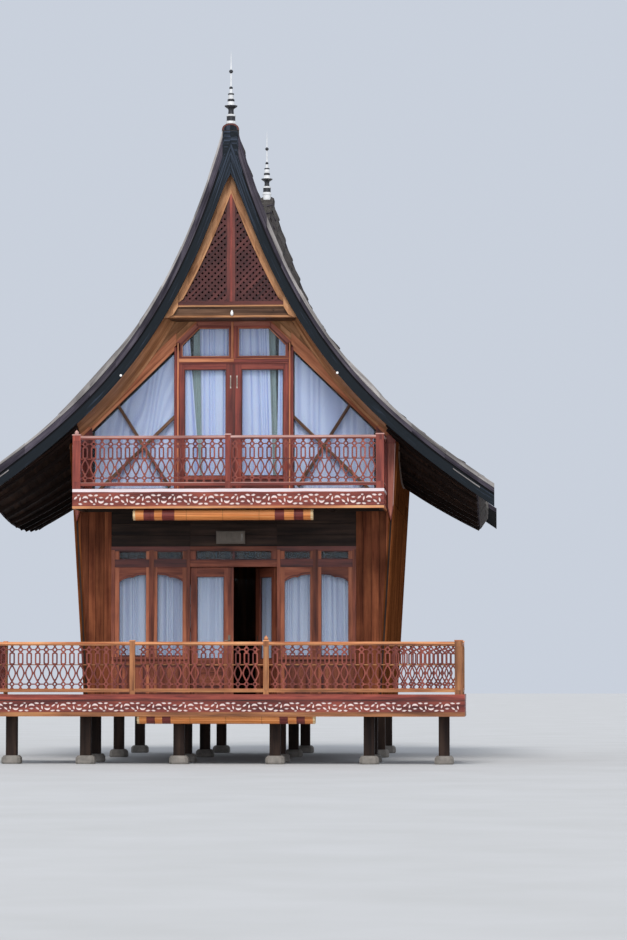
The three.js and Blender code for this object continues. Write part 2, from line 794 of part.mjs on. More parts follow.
// Outline of the side glazing's frame, on the right of the central frame.
function sideFrameOutline() {
  const foot = upperFloorTop + seatGap;
  const inner = frameHalfWidth + seatGap;
  return outlineOf([
    [inner, foot], [sideInner(foot), foot],
    glazingCorner(sideFrameCover), [inner, glazingLine(inner, sideFrameCover)],
  ]);
}

const braceWidth = 75;
const braceDepth = 50;
const fallingBrace = [[885, 6006], [2600, 4345]];
const risingBrace = [[1098, 4673], [2066, 6201]];

function brace([[xFrom, zFrom], [xTo, zTo]]) {
  const length = Math.hypot(xTo - xFrom, zTo - zFrom);
  const bar = new THREE.BoxGeometry(length, braceDepth, braceWidth);
  bar.rotateY(-Math.atan2(zTo - zFrom, xTo - xFrom));
  return bar.translate((xFrom + xTo) / 2, wallFront + gableThickness / 2, (zFrom + zTo) / 2);
}

function gableSideFrame() {
  const back = wallFront + gableThickness;
  const left = frameHalfWidth + sideFrameStile;
  const right = glazingLineEnd[0];
  const sill = upperFloorTop + sideFrameSill;
  const light = outlineOf([
    [left, sill], [right, sill], [right, glazingLine(right, 0)], [left, glazingLine(left, 0)],
  ]);
  const frame = openPlate(sideFrameOutline(), [light], wallFront, back);
  const crossing = joined(brace(fallingBrace), brace(risingBrace));
  return joined(frame, within(crossing, plate(sideFrameOutline(), wallFront, back)));
}

// The sloping golden board between the glazing and the roof.
function gableBoard() {
  const inner = frameHalfWidth + seatGap;
  const cover = sideFrameCover + seatGap;
  const sheet = outlineOf([
    [frameHeadHalfWidth + trimClearance, frameHeadLevel], [inner, frameShoulderLevel + trimClearance],
    [inner, glazingLine(inner, cover)], glazingCorner(cover), [sideInner(frameHeadLevel), frameHeadLevel],
  ]);
  return within(plate(sheet, wallFront, wallFront + gableThickness), underRoof);
}

const gableGlassLap = 20;

function gableGlass() {
  const inside = wallFront + gableThickness + seatGap;
  const side = glazingLineEnd[0] + glassLap - cutMargin;
  const middle = frameHalfWidth + cutMargin;
  const half = [
    [side, upperFloorTop + 70],
    [side, glazingLine(side, gableGlassLap)],
    [middle, glazingLine(middle, gableGlassLap)],
    [940, 7160],
    [frameHeadHalfWidth, 7440],
  ];
  const sheet = outlineOf([...half, ...half.map(([x, z]) => [-x, z]).reverse()]);
  return plate(sheet, inside, inside + glassThickness);
}

const upperCurtainFront = wallFront + gableThickness + glassThickness + 2 * seatGap;
const upperCurtainFoot = upperFloorTop + 40;
const upperSideCurtainSpan = [1030, 2400];
const upperMiddleCurtainHalf = [[900, upperCurtainFoot], [900, 7100], [600, 7400]];

function upperSideCurtain() {
  const [from, to] = upperSideCurtainSpan;
  const sheet = outlineOf([
    [from, upperCurtainFoot], [to, upperCurtainFoot],
    [to, glazingLine(to, -gableGlassLap)], [from, glazingLine(from, -gableGlassLap)],
  ]);
  return plate(sheet, upperCurtainFront, upperCurtainFront + curtainThickness);
}

function upperMiddleCurtain() {
  const left = upperMiddleCurtainHalf.map(([x, z]) => [-x, z]).reverse();
  const sheet = outlineOf([...upperMiddleCurtainHalf, ...left]);
  return plate(sheet, upperCurtainFront, upperCurtainFront + curtainThickness);
}

// A collar beam under the lattice, with a soffit board back to the glazing.
const collarFront = -3600;
const collarDepth = 120;
const soffitThickness = 30;

function collarBeam() {
  const span = [-collarHalfLength, collarHalfLength];
  const back = collarFront + collarDepth;
  const beam = block(...span, collarFront, back, collarBottom, collarTop);
  const soffitEnds = [...span, back - cutMargin, wallFront + gableThickness];
  const soffit = block(...soffitEnds, collarBottom, collarBottom + soffitThickness);
  return within(joined(beam, soffit), underRoof);
}

// Gable vent: golden trim boards round a red diamond lattice with a middle post.
const ventBase = collarTop + seatGap;
const ventPostHalfWidth = 70;
const latticeBar = { length: 3200, depth: 24, width: 30 };
const latticeReach = 8;

// The triangle inside the trim boards, with its sides moved outward by a lap.
function ventTriangle(lap) {
  const foot = ventBase + 30 - lap;
  return outlineOf([[-ventHalfWidth - lap, foot], [ventHalfWidth + lap, foot], [0, ventApex + 2 * lap]]);
}

function ventTrim() {
  const shoulder = 9000;
  const tip = 10400;
  const side = collarHalfLength;
  const half = [[side, ventBase], [side, shoulder], [0, tip]];
  const sheet = outlineOf([[-side, ventBase], ...half, [-side, shoulder]]);
  return within(openPlate(sheet, [ventTriangle(0)], ventFront, ventBack), underRoof);
}

function gableVent() {
  const middleDepth = (ventFront + ventBack) / 2;
  const bars = [];
  for (let along = -latticeReach; along <= latticeReach; along += 1) {
    for (const lean of [-1, 1]) {
      const bar = new THREE.BoxGeometry(latticeBar.length, latticeBar.depth, latticeBar.width);
      bar.rotateY((lean * Math.PI) / 4).translate(along * latticeSpacing, middleDepth, 8700);
      bars.push(bar);
    }
  }
  const postEnds = [-ventPostHalfWidth, ventPostHalfWidth, ventFront + 5, ventBack - 5];
  const post = block(...postEnds, ventBase + cutMargin, ventApex);
  const limit = plate(ventTriangle(20), ventFront, ventBack);
  return joined(ventTrim(), within(joined(...bars), limit), within(post, limit));
}

function rearGable() {
  const foot = upperFloorTop + seatGap;
  const knee = 5300;
  const tip = 10400;
  const sheet = outlineOf([
    [-sideInner(foot), foot], [sideInner(foot), foot], [sideInner(knee), knee], [sideInner(knee), tip],
    [-sideInner(knee), tip], [-sideInner(knee), knee],
  ]);
  return within(plate(sheet, wallRear - sideWallThickness, wallRear), underRoof);
}

// A long board that hangs beside each gable corner and ends in a point.
const dropBoardThickness = 45;
const dropBoardOutline = [[2618, 4300], [2682, 4080], [2724, 4300], [2764, 5560], [2618, 5560]];

function dropBoard() {
  const board = plate(outlineOf(dropBoardOutline), wallFront - dropBoardThickness, wallFront - seatGap);
  return within(board, underRoof);
}

function upperStorey() {
  const floorSide = sideInner(upperFloorBottom);
  const floor = block(-floorSide, floorSide, wallFront, wallRear, upperFloorBottom, upperFloorTop);
  place("upper_floor", floor, woodBoard);
  place("gable_door_frame", gableDoorFrame(), woodRed);
  placePair("upper_door", upperDoor(), woodRed);
  placePair("gable_side_frame", gableSideFrame(), woodRed);
  placePair("gable_board", gableBoard(), woodGolden);
  place("gable_glass", gableGlass(), clearGlass);
  placePair("upper_curtain", upperSideCurtain(), curtainCloth);
  place("upper_curtain_middle", upperMiddleCurtain(), curtainCloth);
  place("collar_beam", collarBeam(), woodGolden);
  place("gable_vent", gableVent(), woodGolden);
  place("rear_gable_wall", rearGable(), woodBoard);
  placePair("gable_drop_board", dropBoard(), woodRed);
}

function roof() {
  placePair("roof", roofHalf(), roofCover);
  place("ridge_cap", ridgeCap(), roofCover);
  placePair("barge_front", bargeBoard(roofFront), bargePaint);
  placePair("barge_rear", bargeBoard(roofRear - bargeThickness), bargePaint);
  place("finial_front", finial(roofFront + finialSetBack), finialMetal);
  place("finial_rear", finial(roofRear - finialSetBack), finialMetal);
}

// A shallow lamp box over the doorway, a little left of the middle.
function lampBox() {
  return block(-290, 200, wallFront - 110, wallFront - seatGap, 3700, 3920);
}

groundFrame();
lowerStorey();
veranda();
balcony();
blinds();
upperStorey();
roof();
place("door_lamp_box", lampBox(), boxPlastic);

export default house;
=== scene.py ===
# %% [markdown]
# # A timber guest house, dressed piece by piece
# The imported model gives the solids of the house: walls, floors, doors and a saddle-backed roof.
# This lesson builds what the eye sees over them: boards, fretwork, thatch, curtains and paint.
# Everything is in metres, with X = 0 on the middle of the front, +Y towards the back and +Z up.

# %% Load the imported model
import math
import random
from bisect import bisect_left, bisect_right

import bmesh
import bpy
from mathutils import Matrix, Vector


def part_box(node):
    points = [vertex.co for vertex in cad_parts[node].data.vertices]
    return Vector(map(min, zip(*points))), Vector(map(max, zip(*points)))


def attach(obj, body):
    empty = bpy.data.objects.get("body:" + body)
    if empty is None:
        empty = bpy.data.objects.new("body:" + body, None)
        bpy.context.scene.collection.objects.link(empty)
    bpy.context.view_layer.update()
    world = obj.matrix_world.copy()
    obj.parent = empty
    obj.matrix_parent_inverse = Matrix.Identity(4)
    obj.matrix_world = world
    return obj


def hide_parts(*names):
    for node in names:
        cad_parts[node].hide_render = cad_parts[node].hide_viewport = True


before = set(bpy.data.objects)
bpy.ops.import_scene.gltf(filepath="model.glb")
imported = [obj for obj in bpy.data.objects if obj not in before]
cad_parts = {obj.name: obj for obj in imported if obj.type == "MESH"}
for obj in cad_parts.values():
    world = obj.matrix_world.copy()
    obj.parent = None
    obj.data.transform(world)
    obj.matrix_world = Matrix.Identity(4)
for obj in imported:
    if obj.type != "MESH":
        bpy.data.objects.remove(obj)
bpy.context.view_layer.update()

scene = bpy.context.scene
chance = random.Random(7)

# %% [markdown]
# ## Camera
# The photograph was taken with a long lens from about 54 metres away, near ground level.
# A long lens flattens the view, so both the distance and the focal length have to be right.
# The camera stands to the right of the house's middle and looks slightly up and to the left.

# %% Place the camera
def added(name, data):
    """A new object in the scene, which holds a lens, a light or a mesh."""
    thing = bpy.data.objects.new(name, data)
    scene.collection.objects.link(thing)
    return thing


def aim(thing, towards):
    """Turns a camera or a lamp so that it looks along a direction."""
    thing.rotation_mode = "QUATERNION"
    thing.rotation_quaternion = Vector(towards).to_track_quat("-Z", "Y")


camera_lens = bpy.data.cameras.new("long_lens")
camera_lens.lens = 124.9
camera_lens.clip_start = 1
camera_lens.clip_end = 500
camera = added("camera", camera_lens)
camera.location = (4.71, -58.28, 1.45)
aim(camera, (-0.0605, 1, 0.0634))
scene.camera = camera
print("camera at", tuple(camera.location), "with a lens of", camera_lens.lens, "mm")

# %% [markdown]
# ## Light and floor
# The day was bright but hazy. A pale world gives the soft light from all round, and one wide
# sun lamp from high in front gives the gentle shadows. A second, weaker lamp fills from the front.
# The floor is one very large pale sheet.


# %% Colours, lamps and floor
def srgb(red, green, blue):
    """A colour given as 0 to 255, as an image editor shows it, in the linear values of a shader."""
    linear = []
    for level in (red / 255, green / 255, blue / 255):
        linear.append(level / 12.92 if level <= 0.04045 else ((level + 0.055) / 1.055) ** 2.4)
    return (*linear, 1.0)


def sun_lamp(name, strength, width, towards, colour):
    """A sun lamp whose width in degrees softens its shadows."""
    light = bpy.data.lights.new(name, "SUN")
    light.energy = strength
    light.angle = math.radians(width)
    light.color = colour[:3]
    aim(added(name, light), towards)


scene.view_settings.view_transform = "Standard"
world = bpy.data.worlds.new("pale_day")
scene.world = world
world.use_nodes = True
sky = world.node_tree.nodes["Background"].inputs
sky["Color"].default_value = srgb(222, 230, 243)
sky["Strength"].default_value = 0.8
sun_lamp("hazy_sun", 2.2, 24, (0.06, 0.86, -1.0), srgb(252, 249, 246))
sun_lamp("fill", 0.9, 50, (-0.2, 1.0, -0.2), srgb(240, 243, 255))

floor_half = 220
floor_mesh = bpy.data.meshes.new("studio_floor")
floor_corners = [(floor_half * a, floor_half * b, 0) for a, b in ((-1, -1), (1, -1), (1, 1), (-1, 1))]
floor_mesh.from_pydata(floor_corners, [], [(0, 1, 2, 3)])
added("studio_floor", floor_mesh)
print("one wide sun, one fill and a floor", 2 * floor_half, "metres wide")

# %% [markdown]
# ## A helper for finishes
# Every finish is a small web of shader nodes. Writing each link by hand makes long cells, so a
# helper adds a node, sets its values and links what it is given. All the patterns come from
# noise and waves that fill space, so no finish needs unwrapping or a picture.


# %% The finish helper
class Finish:
    """A material under construction."""

    def __init__(self, name, gloss=0.5):
        self.material = bpy.data.materials.new(name)
        self.material.use_nodes = True
        self.tree = self.material.node_tree
        self.surface = self.tree.nodes["Principled BSDF"]
        self.surface.inputs["Roughness"].default_value = gloss

    def add(self, kind, values=None, output=0, **settings):
        """Adds a node, fills or links its inputs, and returns one of its outputs."""
        made = self.tree.nodes.new("ShaderNode" + kind)
        for key, value in settings.items():
            setattr(made, key, value)
        for socket, value in (values or {}).items():
            if isinstance(value, bpy.types.NodeSocket):
                self.tree.links.new(value, made.inputs[socket])
            else:
                made.inputs[socket].default_value = value
        return made.outputs[output]

    def place(self):
        """Where a point is on the house, in metres."""
        return self.add("TexCoord", output="Object")

    def marked(self, name, output="Vector"):
        """A value that the mesh carries under a name."""
        return self.add("Attribute", attribute_name=name, output=output)

    def scaled(self, where, factors):
        return self.add("VectorMath", {0: where, 1: factors}, operation="MULTIPLY")

    def noise(self, where, scale, detail=3.0, rough=0.55):
        return self.add("TexNoise", {"Vector": where, "Scale": scale, "Detail": detail, "Roughness": rough})

    def mix(self, share, first, second, kind="MIX"):
        return self.add("MixRGB", {"Fac": share, "Color1": first, "Color2": second}, blend_type=kind)

    def ramp(self, value, *stops):
        """Turns a value into a colour, through stops of (position, colour)."""
        colours = self.tree.nodes.new("ShaderNodeValToRGB")
        self.tree.links.new(value, colours.inputs["Fac"])
        elements = colours.color_ramp.elements
        while len(elements) < len(stops):
            elements.new(0.5)
        for element, (position, colour) in zip(elements, stops):
            element.position = position
            element.color = colour
        return colours.outputs["Color"]

    def math(self, operation, first, second=0.0):
        return self.add("Math", {0: first, 1: second}, operation=operation)

    def grey(self, value, low, high, dark, light):
        """A grey that runs from dark to light as the value goes from low to high."""
        return self.ramp(value, (low, (dark, dark, dark, 1)), (high, (light, light, light, 1)))

    def shaded(self, colour, value, low, high, dark, light):
        """A colour multiplied by such a grey."""
        return self.mix(1.0, colour, self.grey(value, low, high, dark, light), "MULTIPLY")

    def stretched(self, value, first, last, low=0.0, high=1.0):
        """A number that runs from first to last as the value goes from low to high."""
        ends = {"From Min": low, "From Max": high, "To Min": first, "To Max": last}
        return self.add("MapRange", {"Value": value, **ends})

    def finish(self, colour=None, gloss=None, relief=None, depth=0.001, strength=0.6):
        """Connects colour, roughness and bump to the surface and hands the material over."""
        links = self.tree.links
        if colour is not None:
            links.new(colour, self.surface.inputs["Base Color"])
        if gloss is not None:
            links.new(gloss, self.surface.inputs["Roughness"])
        if relief is not None:
            values = {"Height": relief, "Distance": depth, "Strength": strength}
            links.new(self.add("Bump", values, output="Normal"), self.surface.inputs["Normal"])
        return self.material


print("finish helper ready")

# %% [markdown]
# ## Wood
# Real boards differ from each other more than one board differs along its length. So each board
# made below carries two marks: `grain`, a place measured across and along the board itself, and
# `tone`, a random number. Noise that is stretched along the grain draws the fibres and the
# broader bands, and the tone shifts the whole board lighter or darker.


# %% The wood finish
def wood(name, dark, middle, light, gloss=0.5, spread=0.3, weather=0.25, relief=0.0006, shine=0.3):
    """Planed and coloured timber. Spread is how much boards differ, weather how blotchy they are."""
    timber = Finish(name, gloss)
    timber.surface.inputs["Specular IOR Level"].default_value = shine
    grain = timber.marked("grain")
    bands = timber.noise(timber.scaled(grain, (11.0, 0.8, 11.0)), 1.0, 2.0)
    fibres = timber.noise(timber.scaled(grain, (130.0, 3.5, 130.0)), 1.0, 4.0, 0.65)
    figure = timber.mix(0.38, bands, fibres)
    colour = timber.ramp(figure, (0.36, srgb(*dark)), (0.5, srgb(*middle)), (0.66, srgb(*light)))
    colour = timber.shaded(colour, timber.marked("tone", "Fac"), 0.0, 1.0, 1 - spread, 1 + spread)
    blotches = timber.noise(timber.place(), 1.7, 5.0, 0.6)
    colour = timber.shaded(colour, blotches, 0.35, 0.68, 1 - weather, 1.05)
    rough = timber.stretched(fibres, gloss - 0.1, gloss + 0.14, 0.3, 0.7)
    return timber.finish(colour, rough, fibres, relief)


red_wood = wood("varnished_red_wood", (82, 32, 27), (130, 58, 47), (166, 84, 64), 0.4, 0.2)
dark_red_wood = wood("shaded_red_wood", (54, 25, 22), (90, 44, 38), (118, 62, 50), 0.45, 0.25)
# orange_wood and salmon_wood give the rail caps a paler coat, partly painted light on their sky-facing tops.
orange_wood = wood("bright_orange_wood", (158, 86, 48), (212, 140, 92), (236, 178, 124), 0.4, 0.14, 0.2)
salmon_wood = wood("worn_salmon_rail", (146, 98, 88), (186, 140, 130), (212, 174, 164), 0.5, 0.14, 0.15)
# amber_red, a lighter copy of the front wood on the recessed stiles, is partly painted light against the
# shadow they stand in.
amber_red = wood("stile_amber_red_wood",
                 (100, 52, 36), (152, 88, 62), (184, 114, 82), 0.45, 0.2, 0.25, 0.0006, 0.2)
# salmon_red is a lighter copy of the red wood: painted light on boards that lie in shadow, under the collar
# and beside the corners.
salmon_red = wood("red_wood_with_painted_light", (112, 56, 44), (160, 92, 76), (192, 122, 100), 0.5, 0.14, 0.2)
umber_wood = wood("umber_beam_wood",
                  (62, 42, 31), (98, 70, 52), (126, 94, 72), 0.5, 0.15, 0.25, 0.0006, 0.15)
amber_wood = wood("amber_post_wood", (104, 62, 36), (156, 100, 62), (186, 132, 84), 0.45, 0.16, 0.2)
fret_wood = wood("fretwork_red_wood", (82, 36, 32), (124, 60, 50), (156, 84, 66), 0.45, 0.16, 0.2)
# The lattice's dark maroon is partly the wood's colour and partly painted shade in the recess under the roof.
lattice_wood = wood("lattice_maroon_wood_with_painted_shade", (44, 20, 20), (78, 38, 36), (104, 56, 50), 0.55, 0.2, 0.3)
golden_wood = wood("golden_board",
                   (132, 88, 56), (184, 132, 92), (212, 160, 116), 0.5, 0.18, 0.25, 0.0006, 0.15)
copper_wood = wood("copper_trim_wood",
                   (152, 88, 60), (204, 130, 92), (230, 162, 120), 0.5, 0.12, 0.2, 0.0006, 0.15)
brown_wood = wood("brown_plank", (86, 44, 29), (117, 65, 43), (142, 84, 55), 0.6, 0.3, 0.35, 0.0008, 0.04)
side_wood = wood("shaded_brown_plank",
                 (74, 38, 20), (108, 60, 32), (136, 82, 45), 0.7, 0.3, 0.35, 0.0008, 0.0)
front_wood = wood("lower_front_wood",
                  (78, 38, 28), (124, 67, 49), (154, 92, 66), 0.45, 0.22, 0.3, 0.0006, 0.2)
dark_timber = wood("dark_timber", (30, 22, 19), (50, 37, 31), (70, 54, 44), 0.65, 0.25, 0.3, 0.0008, 0.15)
shade_wood = wood("board_in_deep_shade",
                  (20, 14, 12), (36, 25, 21), (56, 38, 30), 0.65, 0.25, 0.3, 0.0008, 0.1)
grey_timber = wood("weathered_grey_timber",
                   (92, 87, 86), (142, 137, 134), (190, 184, 178), 0.85, 0.25, 0.35, 0.002, 0.1)
plum_timber = wood("plum_grey_timber",
                   (42, 39, 46), (70, 65, 74), (104, 98, 104), 0.85, 0.25, 0.35, 0.002, 0.1)
print("wood finishes:", len([m for m in bpy.data.materials if "wood" in m.name or "timber" in m.name]))

# %% [markdown]
# ## Paint, stone, metal and glass
# The remaining hard finishes are simpler. Paint has a faint orange-peel relief and dirt in
# broad blotches. The barge paint is nearly black with a blue cast, worn to a chalky grey in
# streaks along the board. Glass is a plain thin pane whose alpha lets the curtains show.


# %% Paint, stone, metal and glass
def paint(name, colour, gloss=0.5, dirt=0.25, scale=3.0, relief=0.0004):
    """A coat of paint: even in colour, with dirt in blotches and a faint relief."""
    coat = Finish(name, gloss)
    blotches = coat.noise(coat.place(), scale, 6.0, 0.65)
    shade = coat.shaded(srgb(*colour), blotches, 0.3, 0.65, 1 - dirt, 1.0)
    peel = coat.noise(coat.place(), 160.0, 2.0)
    return coat.finish(shade, coat.stretched(blotches, gloss + 0.15, gloss - 0.1), peel, relief)


def worn_paint(name, colour, worn, share):
    """Dark paint that has worn off in streaks along the board."""
    coat = Finish(name, 0.5)
    coat.surface.inputs["Specular IOR Level"].default_value = 0.12
    streaks = coat.noise(coat.scaled(coat.marked("grain"), (26.0, 0.9, 26.0)), 1.0, 5.0, 0.7)
    level = coat.math("ADD", streaks, coat.math("MULTIPLY", coat.marked("tone", "Fac"), 0.12))
    shade = coat.ramp(level, (0.5, colour), (share, colour), (share + 0.14, worn))
    return coat.finish(shade, coat.stretched(streaks, 0.35, 0.75, 0.3, 0.7), streaks, 0.0012)


barge_paint = worn_paint("blue_black_barge_paint", srgb(21, 27, 32), srgb(66, 75, 90), 0.6)
# The recess coat's near-black stands in as painted shadow in the gaps between the barge boards' bands.
barge_recess = worn_paint("black_recess_painted_shadow", srgb(13, 14, 16), srgb(34, 34, 36), 0.7)
scroll_white = paint("scroll_white_paint", (246, 226, 218), 0.55, 0.15, 5.0)
strip_cream = paint("cream_strip_paint", (226, 210, 210), 0.5, 0.15, 2.0)
band_white = paint("finial_white_paint", (232, 232, 230), 0.35, 0.3, 9.0)
band_dark = paint("finial_dark_paint", (40, 40, 44), 0.4, 0.4, 9.0)
box_paint = paint("lamp_box_plastic", (102, 91, 78), 0.5, 0.3, 6.0)
lamp_white = paint("lamp_opal_glass", (246, 244, 240), 0.2, 0.08, 12.0)
stone = paint("foot_stone", (138, 132, 124), 0.85, 0.45, 7.0, 0.004)


def plain_metal(name, colour, gloss):
    metal = Finish(name, gloss)
    metal.surface.inputs["Metallic"].default_value = 1.0
    smudge = metal.noise(metal.place(), 40.0, 4.0)
    shade = metal.shaded(srgb(*colour), smudge, 0.3, 0.7, 0.75, 1.0)
    return metal.finish(shade, metal.stretched(smudge, gloss - 0.08, gloss + 0.2), smudge, 0.0002)


handle_metal = plain_metal("handle_metal", (196, 188, 172), 0.3)
hinge_metal = plain_metal("hinge_metal", (120, 112, 100), 0.4)


def window_pane(name, colour, clear):
    """Thin clear glass. Its alpha lets most light through, and faint waves break its reflections."""
    pane = Finish(name, 0.06)
    pane.surface.inputs["Alpha"].default_value = clear
    pane.surface.inputs["Specular IOR Level"].default_value = 0.7
    dust = pane.noise(pane.place(), 2.2, 4.0)
    shade = pane.shaded(colour, dust, 0.3, 0.7, 0.8, 1.0)
    wave = pane.noise(pane.place(), 1.4, 2.0)
    return pane.finish(shade, None, wave, 0.004)


window_glass = window_pane("window_glass", srgb(118, 134, 140), 0.12)
for node in ("lower_window_glass", "gable_glass", "rear_window_glass", "door_left_glass", "door_right_glass"):
    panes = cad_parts[node].data.materials
    panes.clear()
    panes.append(window_glass)

studio = Finish("studio_floor_finish", 0.9)
studio_grain = studio.noise(studio.place(), 0.6, 3.0)
studio_shade = studio.ramp(studio_grain, (0.3, srgb(190, 190, 188)), (0.7, srgb(197, 197, 196)))
floor_mesh.materials.append(studio.finish(studio_shade))
print("finishes so far:", len(bpy.data.materials))

# %% [markdown]
# ## A bench for joinery
# Nearly everything on this house is cut from boards. A `Bench` gathers closed solids into one
# mesh: straight boards, boards sawn to an outline, turned pieces and rods. Each solid gets its
# own grain direction and tone. `seat` moves the bench's drawing to where the piece stands, so
# that one drawing serves the left side, the right side and the sides that run back.


# %% The joinery bench
def as_drawn(u, depth, z):
    """Drawing and house agree: u is X, depth is Y."""
    return (u, depth, z)


def mirrored(u, depth, z):
    """The drawing is turned over to the left side of the house."""
    return (-u, depth, z)


both_sides = (("left", mirrored), ("right", as_drawn))
sideways = (1, 0, 0)


def oblong(u0, u1, z0, z1):
    """The outline of a rectangle."""
    return [(u0, z0), (u1, z0), (u1, z1), (u0, z1)]


def ring(u, z, radius, count):
    """A round outline."""
    turns = [math.tau * i / count for i in range(count)]
    return [(u + radius * math.cos(t), z + radius * math.sin(t)) for t in turns]


def mark(mesh, name, values):
    """Gives every point of a mesh a number, or a place, that a finish can read by its name."""
    is_place = not isinstance(values[0], float)
    marks = mesh.attributes.new(name, "FLOAT_VECTOR" if is_place else "FLOAT", "POINT")
    if is_place:
        marks.data.foreach_set("vector", [part for place in values for part in place])
    else:
        marks.data.foreach_set("value", values)


def fit(piece, stands_for, body):
    """Lets a piece ride on a body and take the place of nodes of the model."""
    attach(piece, body)
    if stands_for:
        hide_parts(*stands_for)


class Bench:
    """Gathers closed solids into one piece."""

    def __init__(self, seat=as_drawn):
        self.seat = seat
        self.points, self.faces, self.coats = [], [], []
        self.grains, self.tones = [], []

    def solid(self, points, faces, along=(0, 0, 1), coat=0, tone=None, grain=None):
        """Adds a closed shape. Grain runs along a direction, or follows places that are given."""
        first = len(self.points)
        self.points.extend(self.seat(*point) for point in points)
        self.faces.extend([first + index for index in face] for face in faces)
        self.coats.extend([coat] * len(faces))
        shift = Vector((chance.uniform(-9, 9), chance.uniform(-9, 9), chance.uniform(-9, 9)))
        if grain is None:
            length = Vector(along).normalized()
            aside = Vector((0, 1, 0)) if abs(length.y) < 0.9 else Vector((1, 0, 0))
            across = length.cross(aside).normalized()
            ways = (across, length, length.cross(across))
            grain = [tuple(way.dot(point) for way in ways) for point in map(Vector, points)]
        self.grains.extend(Vector(place) + shift for place in grain)
        shade = chance.random() if tone is None else tone
        self.tones.extend(shade if isinstance(shade, list) else [shade] * len(points))

    def board(self, low, high, **how):
        """A straight board between two corners, with its grain along its longest side."""
        corners = [(x, y, z) for x in (low[0], high[0])
                   for y in (low[1], high[1]) for z in (low[2], high[2])]
        sides = [abs(high[axis] - low[axis]) for axis in range(3)]
        longest = sides.index(max(sides))
        how.setdefault("along", tuple(float(axis == longest) for axis in range(3)))
        faces = [(0, 1, 3, 2), (4, 6, 7, 5), (0, 4, 5, 1), (2, 3, 7, 6), (0, 2, 6, 4), (1, 5, 7, 3)]
        self.solid(corners, faces, **how)

    def plate(self, outline, near, far, **how):
        """A board with an outline in u and z, from one depth to another."""
        count = len(outline)
        if count < 3:
            return
        points = [(u, near, z) for u, z in outline] + [(u, far, z) for u, z in outline]
        faces = [tuple(range(count)), tuple(range(2 * count - 1, count - 1, -1))]
        faces += [(i, (i + 1) % count, count + (i + 1) % count, count + i) for i in range(count)]
        self.solid(points, faces, **how)

    def strip(self, sections, **how):
        """Joins closed sections of equally many points into one long solid with capped ends."""
        around = len(sections[0])
        points = [point for section in sections for point in section]
        faces = [tuple(range(around)), tuple(range(len(points) - 1, len(points) - around - 1, -1))]
        for row in range(len(sections) - 1):
            for i in range(around):
                a = row * around + i
                b = row * around + (i + 1) % around
                faces.append((a, b, b + around, a + around))
        if "grain" not in how:
            middles = [sum((Vector(p) for p in section), Vector()) / around for section in sections]
            travel = [0.0]
            for before, after in zip(middles, middles[1:]):
                travel.append(travel[-1] + (after - before).length)
            how["grain"] = [
                ((Vector(p) - middle).length * (1 if i % 2 else -1), run, (p[2] - middle.z))
                for section, middle, run in zip(sections, middles, travel)
                for i, p in enumerate(section)
            ]
        self.solid(points, faces, **how)

    def turned(self, profile, centre, sides=16, coats=None, coat=0, **how):
        """A piece turned on a lathe: profile is (radius, height) from the foot up."""
        for part, ends in enumerate(zip(profile, profile[1:])):
            rings = [[(x, y, centre[2] + height) for x, y in ring(centre[0], centre[1], radius, sides)]
                     for radius, height in ends]
            self.strip(rings, coat=coats[part] if coats else coat, **how)

    def rod(self, path, radius, sides=8, **how):
        """A round rod along a path of points."""
        sections = []
        for i, point in enumerate(path):
            before = Vector(path[max(i - 1, 0)])
            after = Vector(path[min(i + 1, len(path) - 1)])
            ahead = (after - before).normalized()
            across = ahead.cross(Vector((0, 0, 1)) if abs(ahead.z) < 0.9 else Vector((1, 0, 0))).normalized()
            up = ahead.cross(across)
            sections.append([])
            for k in range(sides):
                turn = math.tau * k / sides
                side = radius * (math.cos(turn) * across + math.sin(turn) * up)
                sections[-1].append(tuple(Vector(point) + side))
        self.strip(sections, **how)

    def make(self, name, coats, slot, stands_for=(), body="house", edge=0.003, smooth=False):
        """Turns the bench into one object that rides on a body and replaces nodes of the model."""
        mesh = bpy.data.meshes.new(name)
        mesh.from_pydata(self.points, [], self.faces)
        for coat in coats:
            mesh.materials.append(coat)
        mesh.polygons.foreach_set("material_index", self.coats)
        mark(mesh, "grain", self.grains)
        mark(mesh, "tone", self.tones)
        turner = bmesh.new()
        turner.from_mesh(mesh)
        bmesh.ops.recalc_face_normals(turner, faces=turner.faces)
        turner.to_mesh(mesh)
        turner.free()
        piece = added(name, mesh)
        if smooth:
            mesh.polygons.foreach_set("use_smooth", [True] * len(mesh.polygons))
            mesh.set_sharp_from_angle(angle=math.radians(38))
        if edge:
            bevel = piece.modifiers.new("worn_edges", "BEVEL")
            bevel.width = edge
            bevel.segments = 1
            bevel.limit_method = "ANGLE"
            bevel.angle_limit = math.radians(50)
        fit(piece, stands_for, body)
        print(f"{name}: {len(self.tones)} points, {len(self.faces)} faces")


print("bench ready")

# %% [markdown]
# ## Sawing curved outlines
# Fretwork has holes and curved edges. A flat Blender curve fills the space between an outline
# and the outlines inside it, extrudes it and softens its edges. The result is turned into
# plain points and faces, so one sawn board can be laid on the bench many times. Planks need no
# such saw: an outline with straight edges is clipped between lines that stand a width apart.


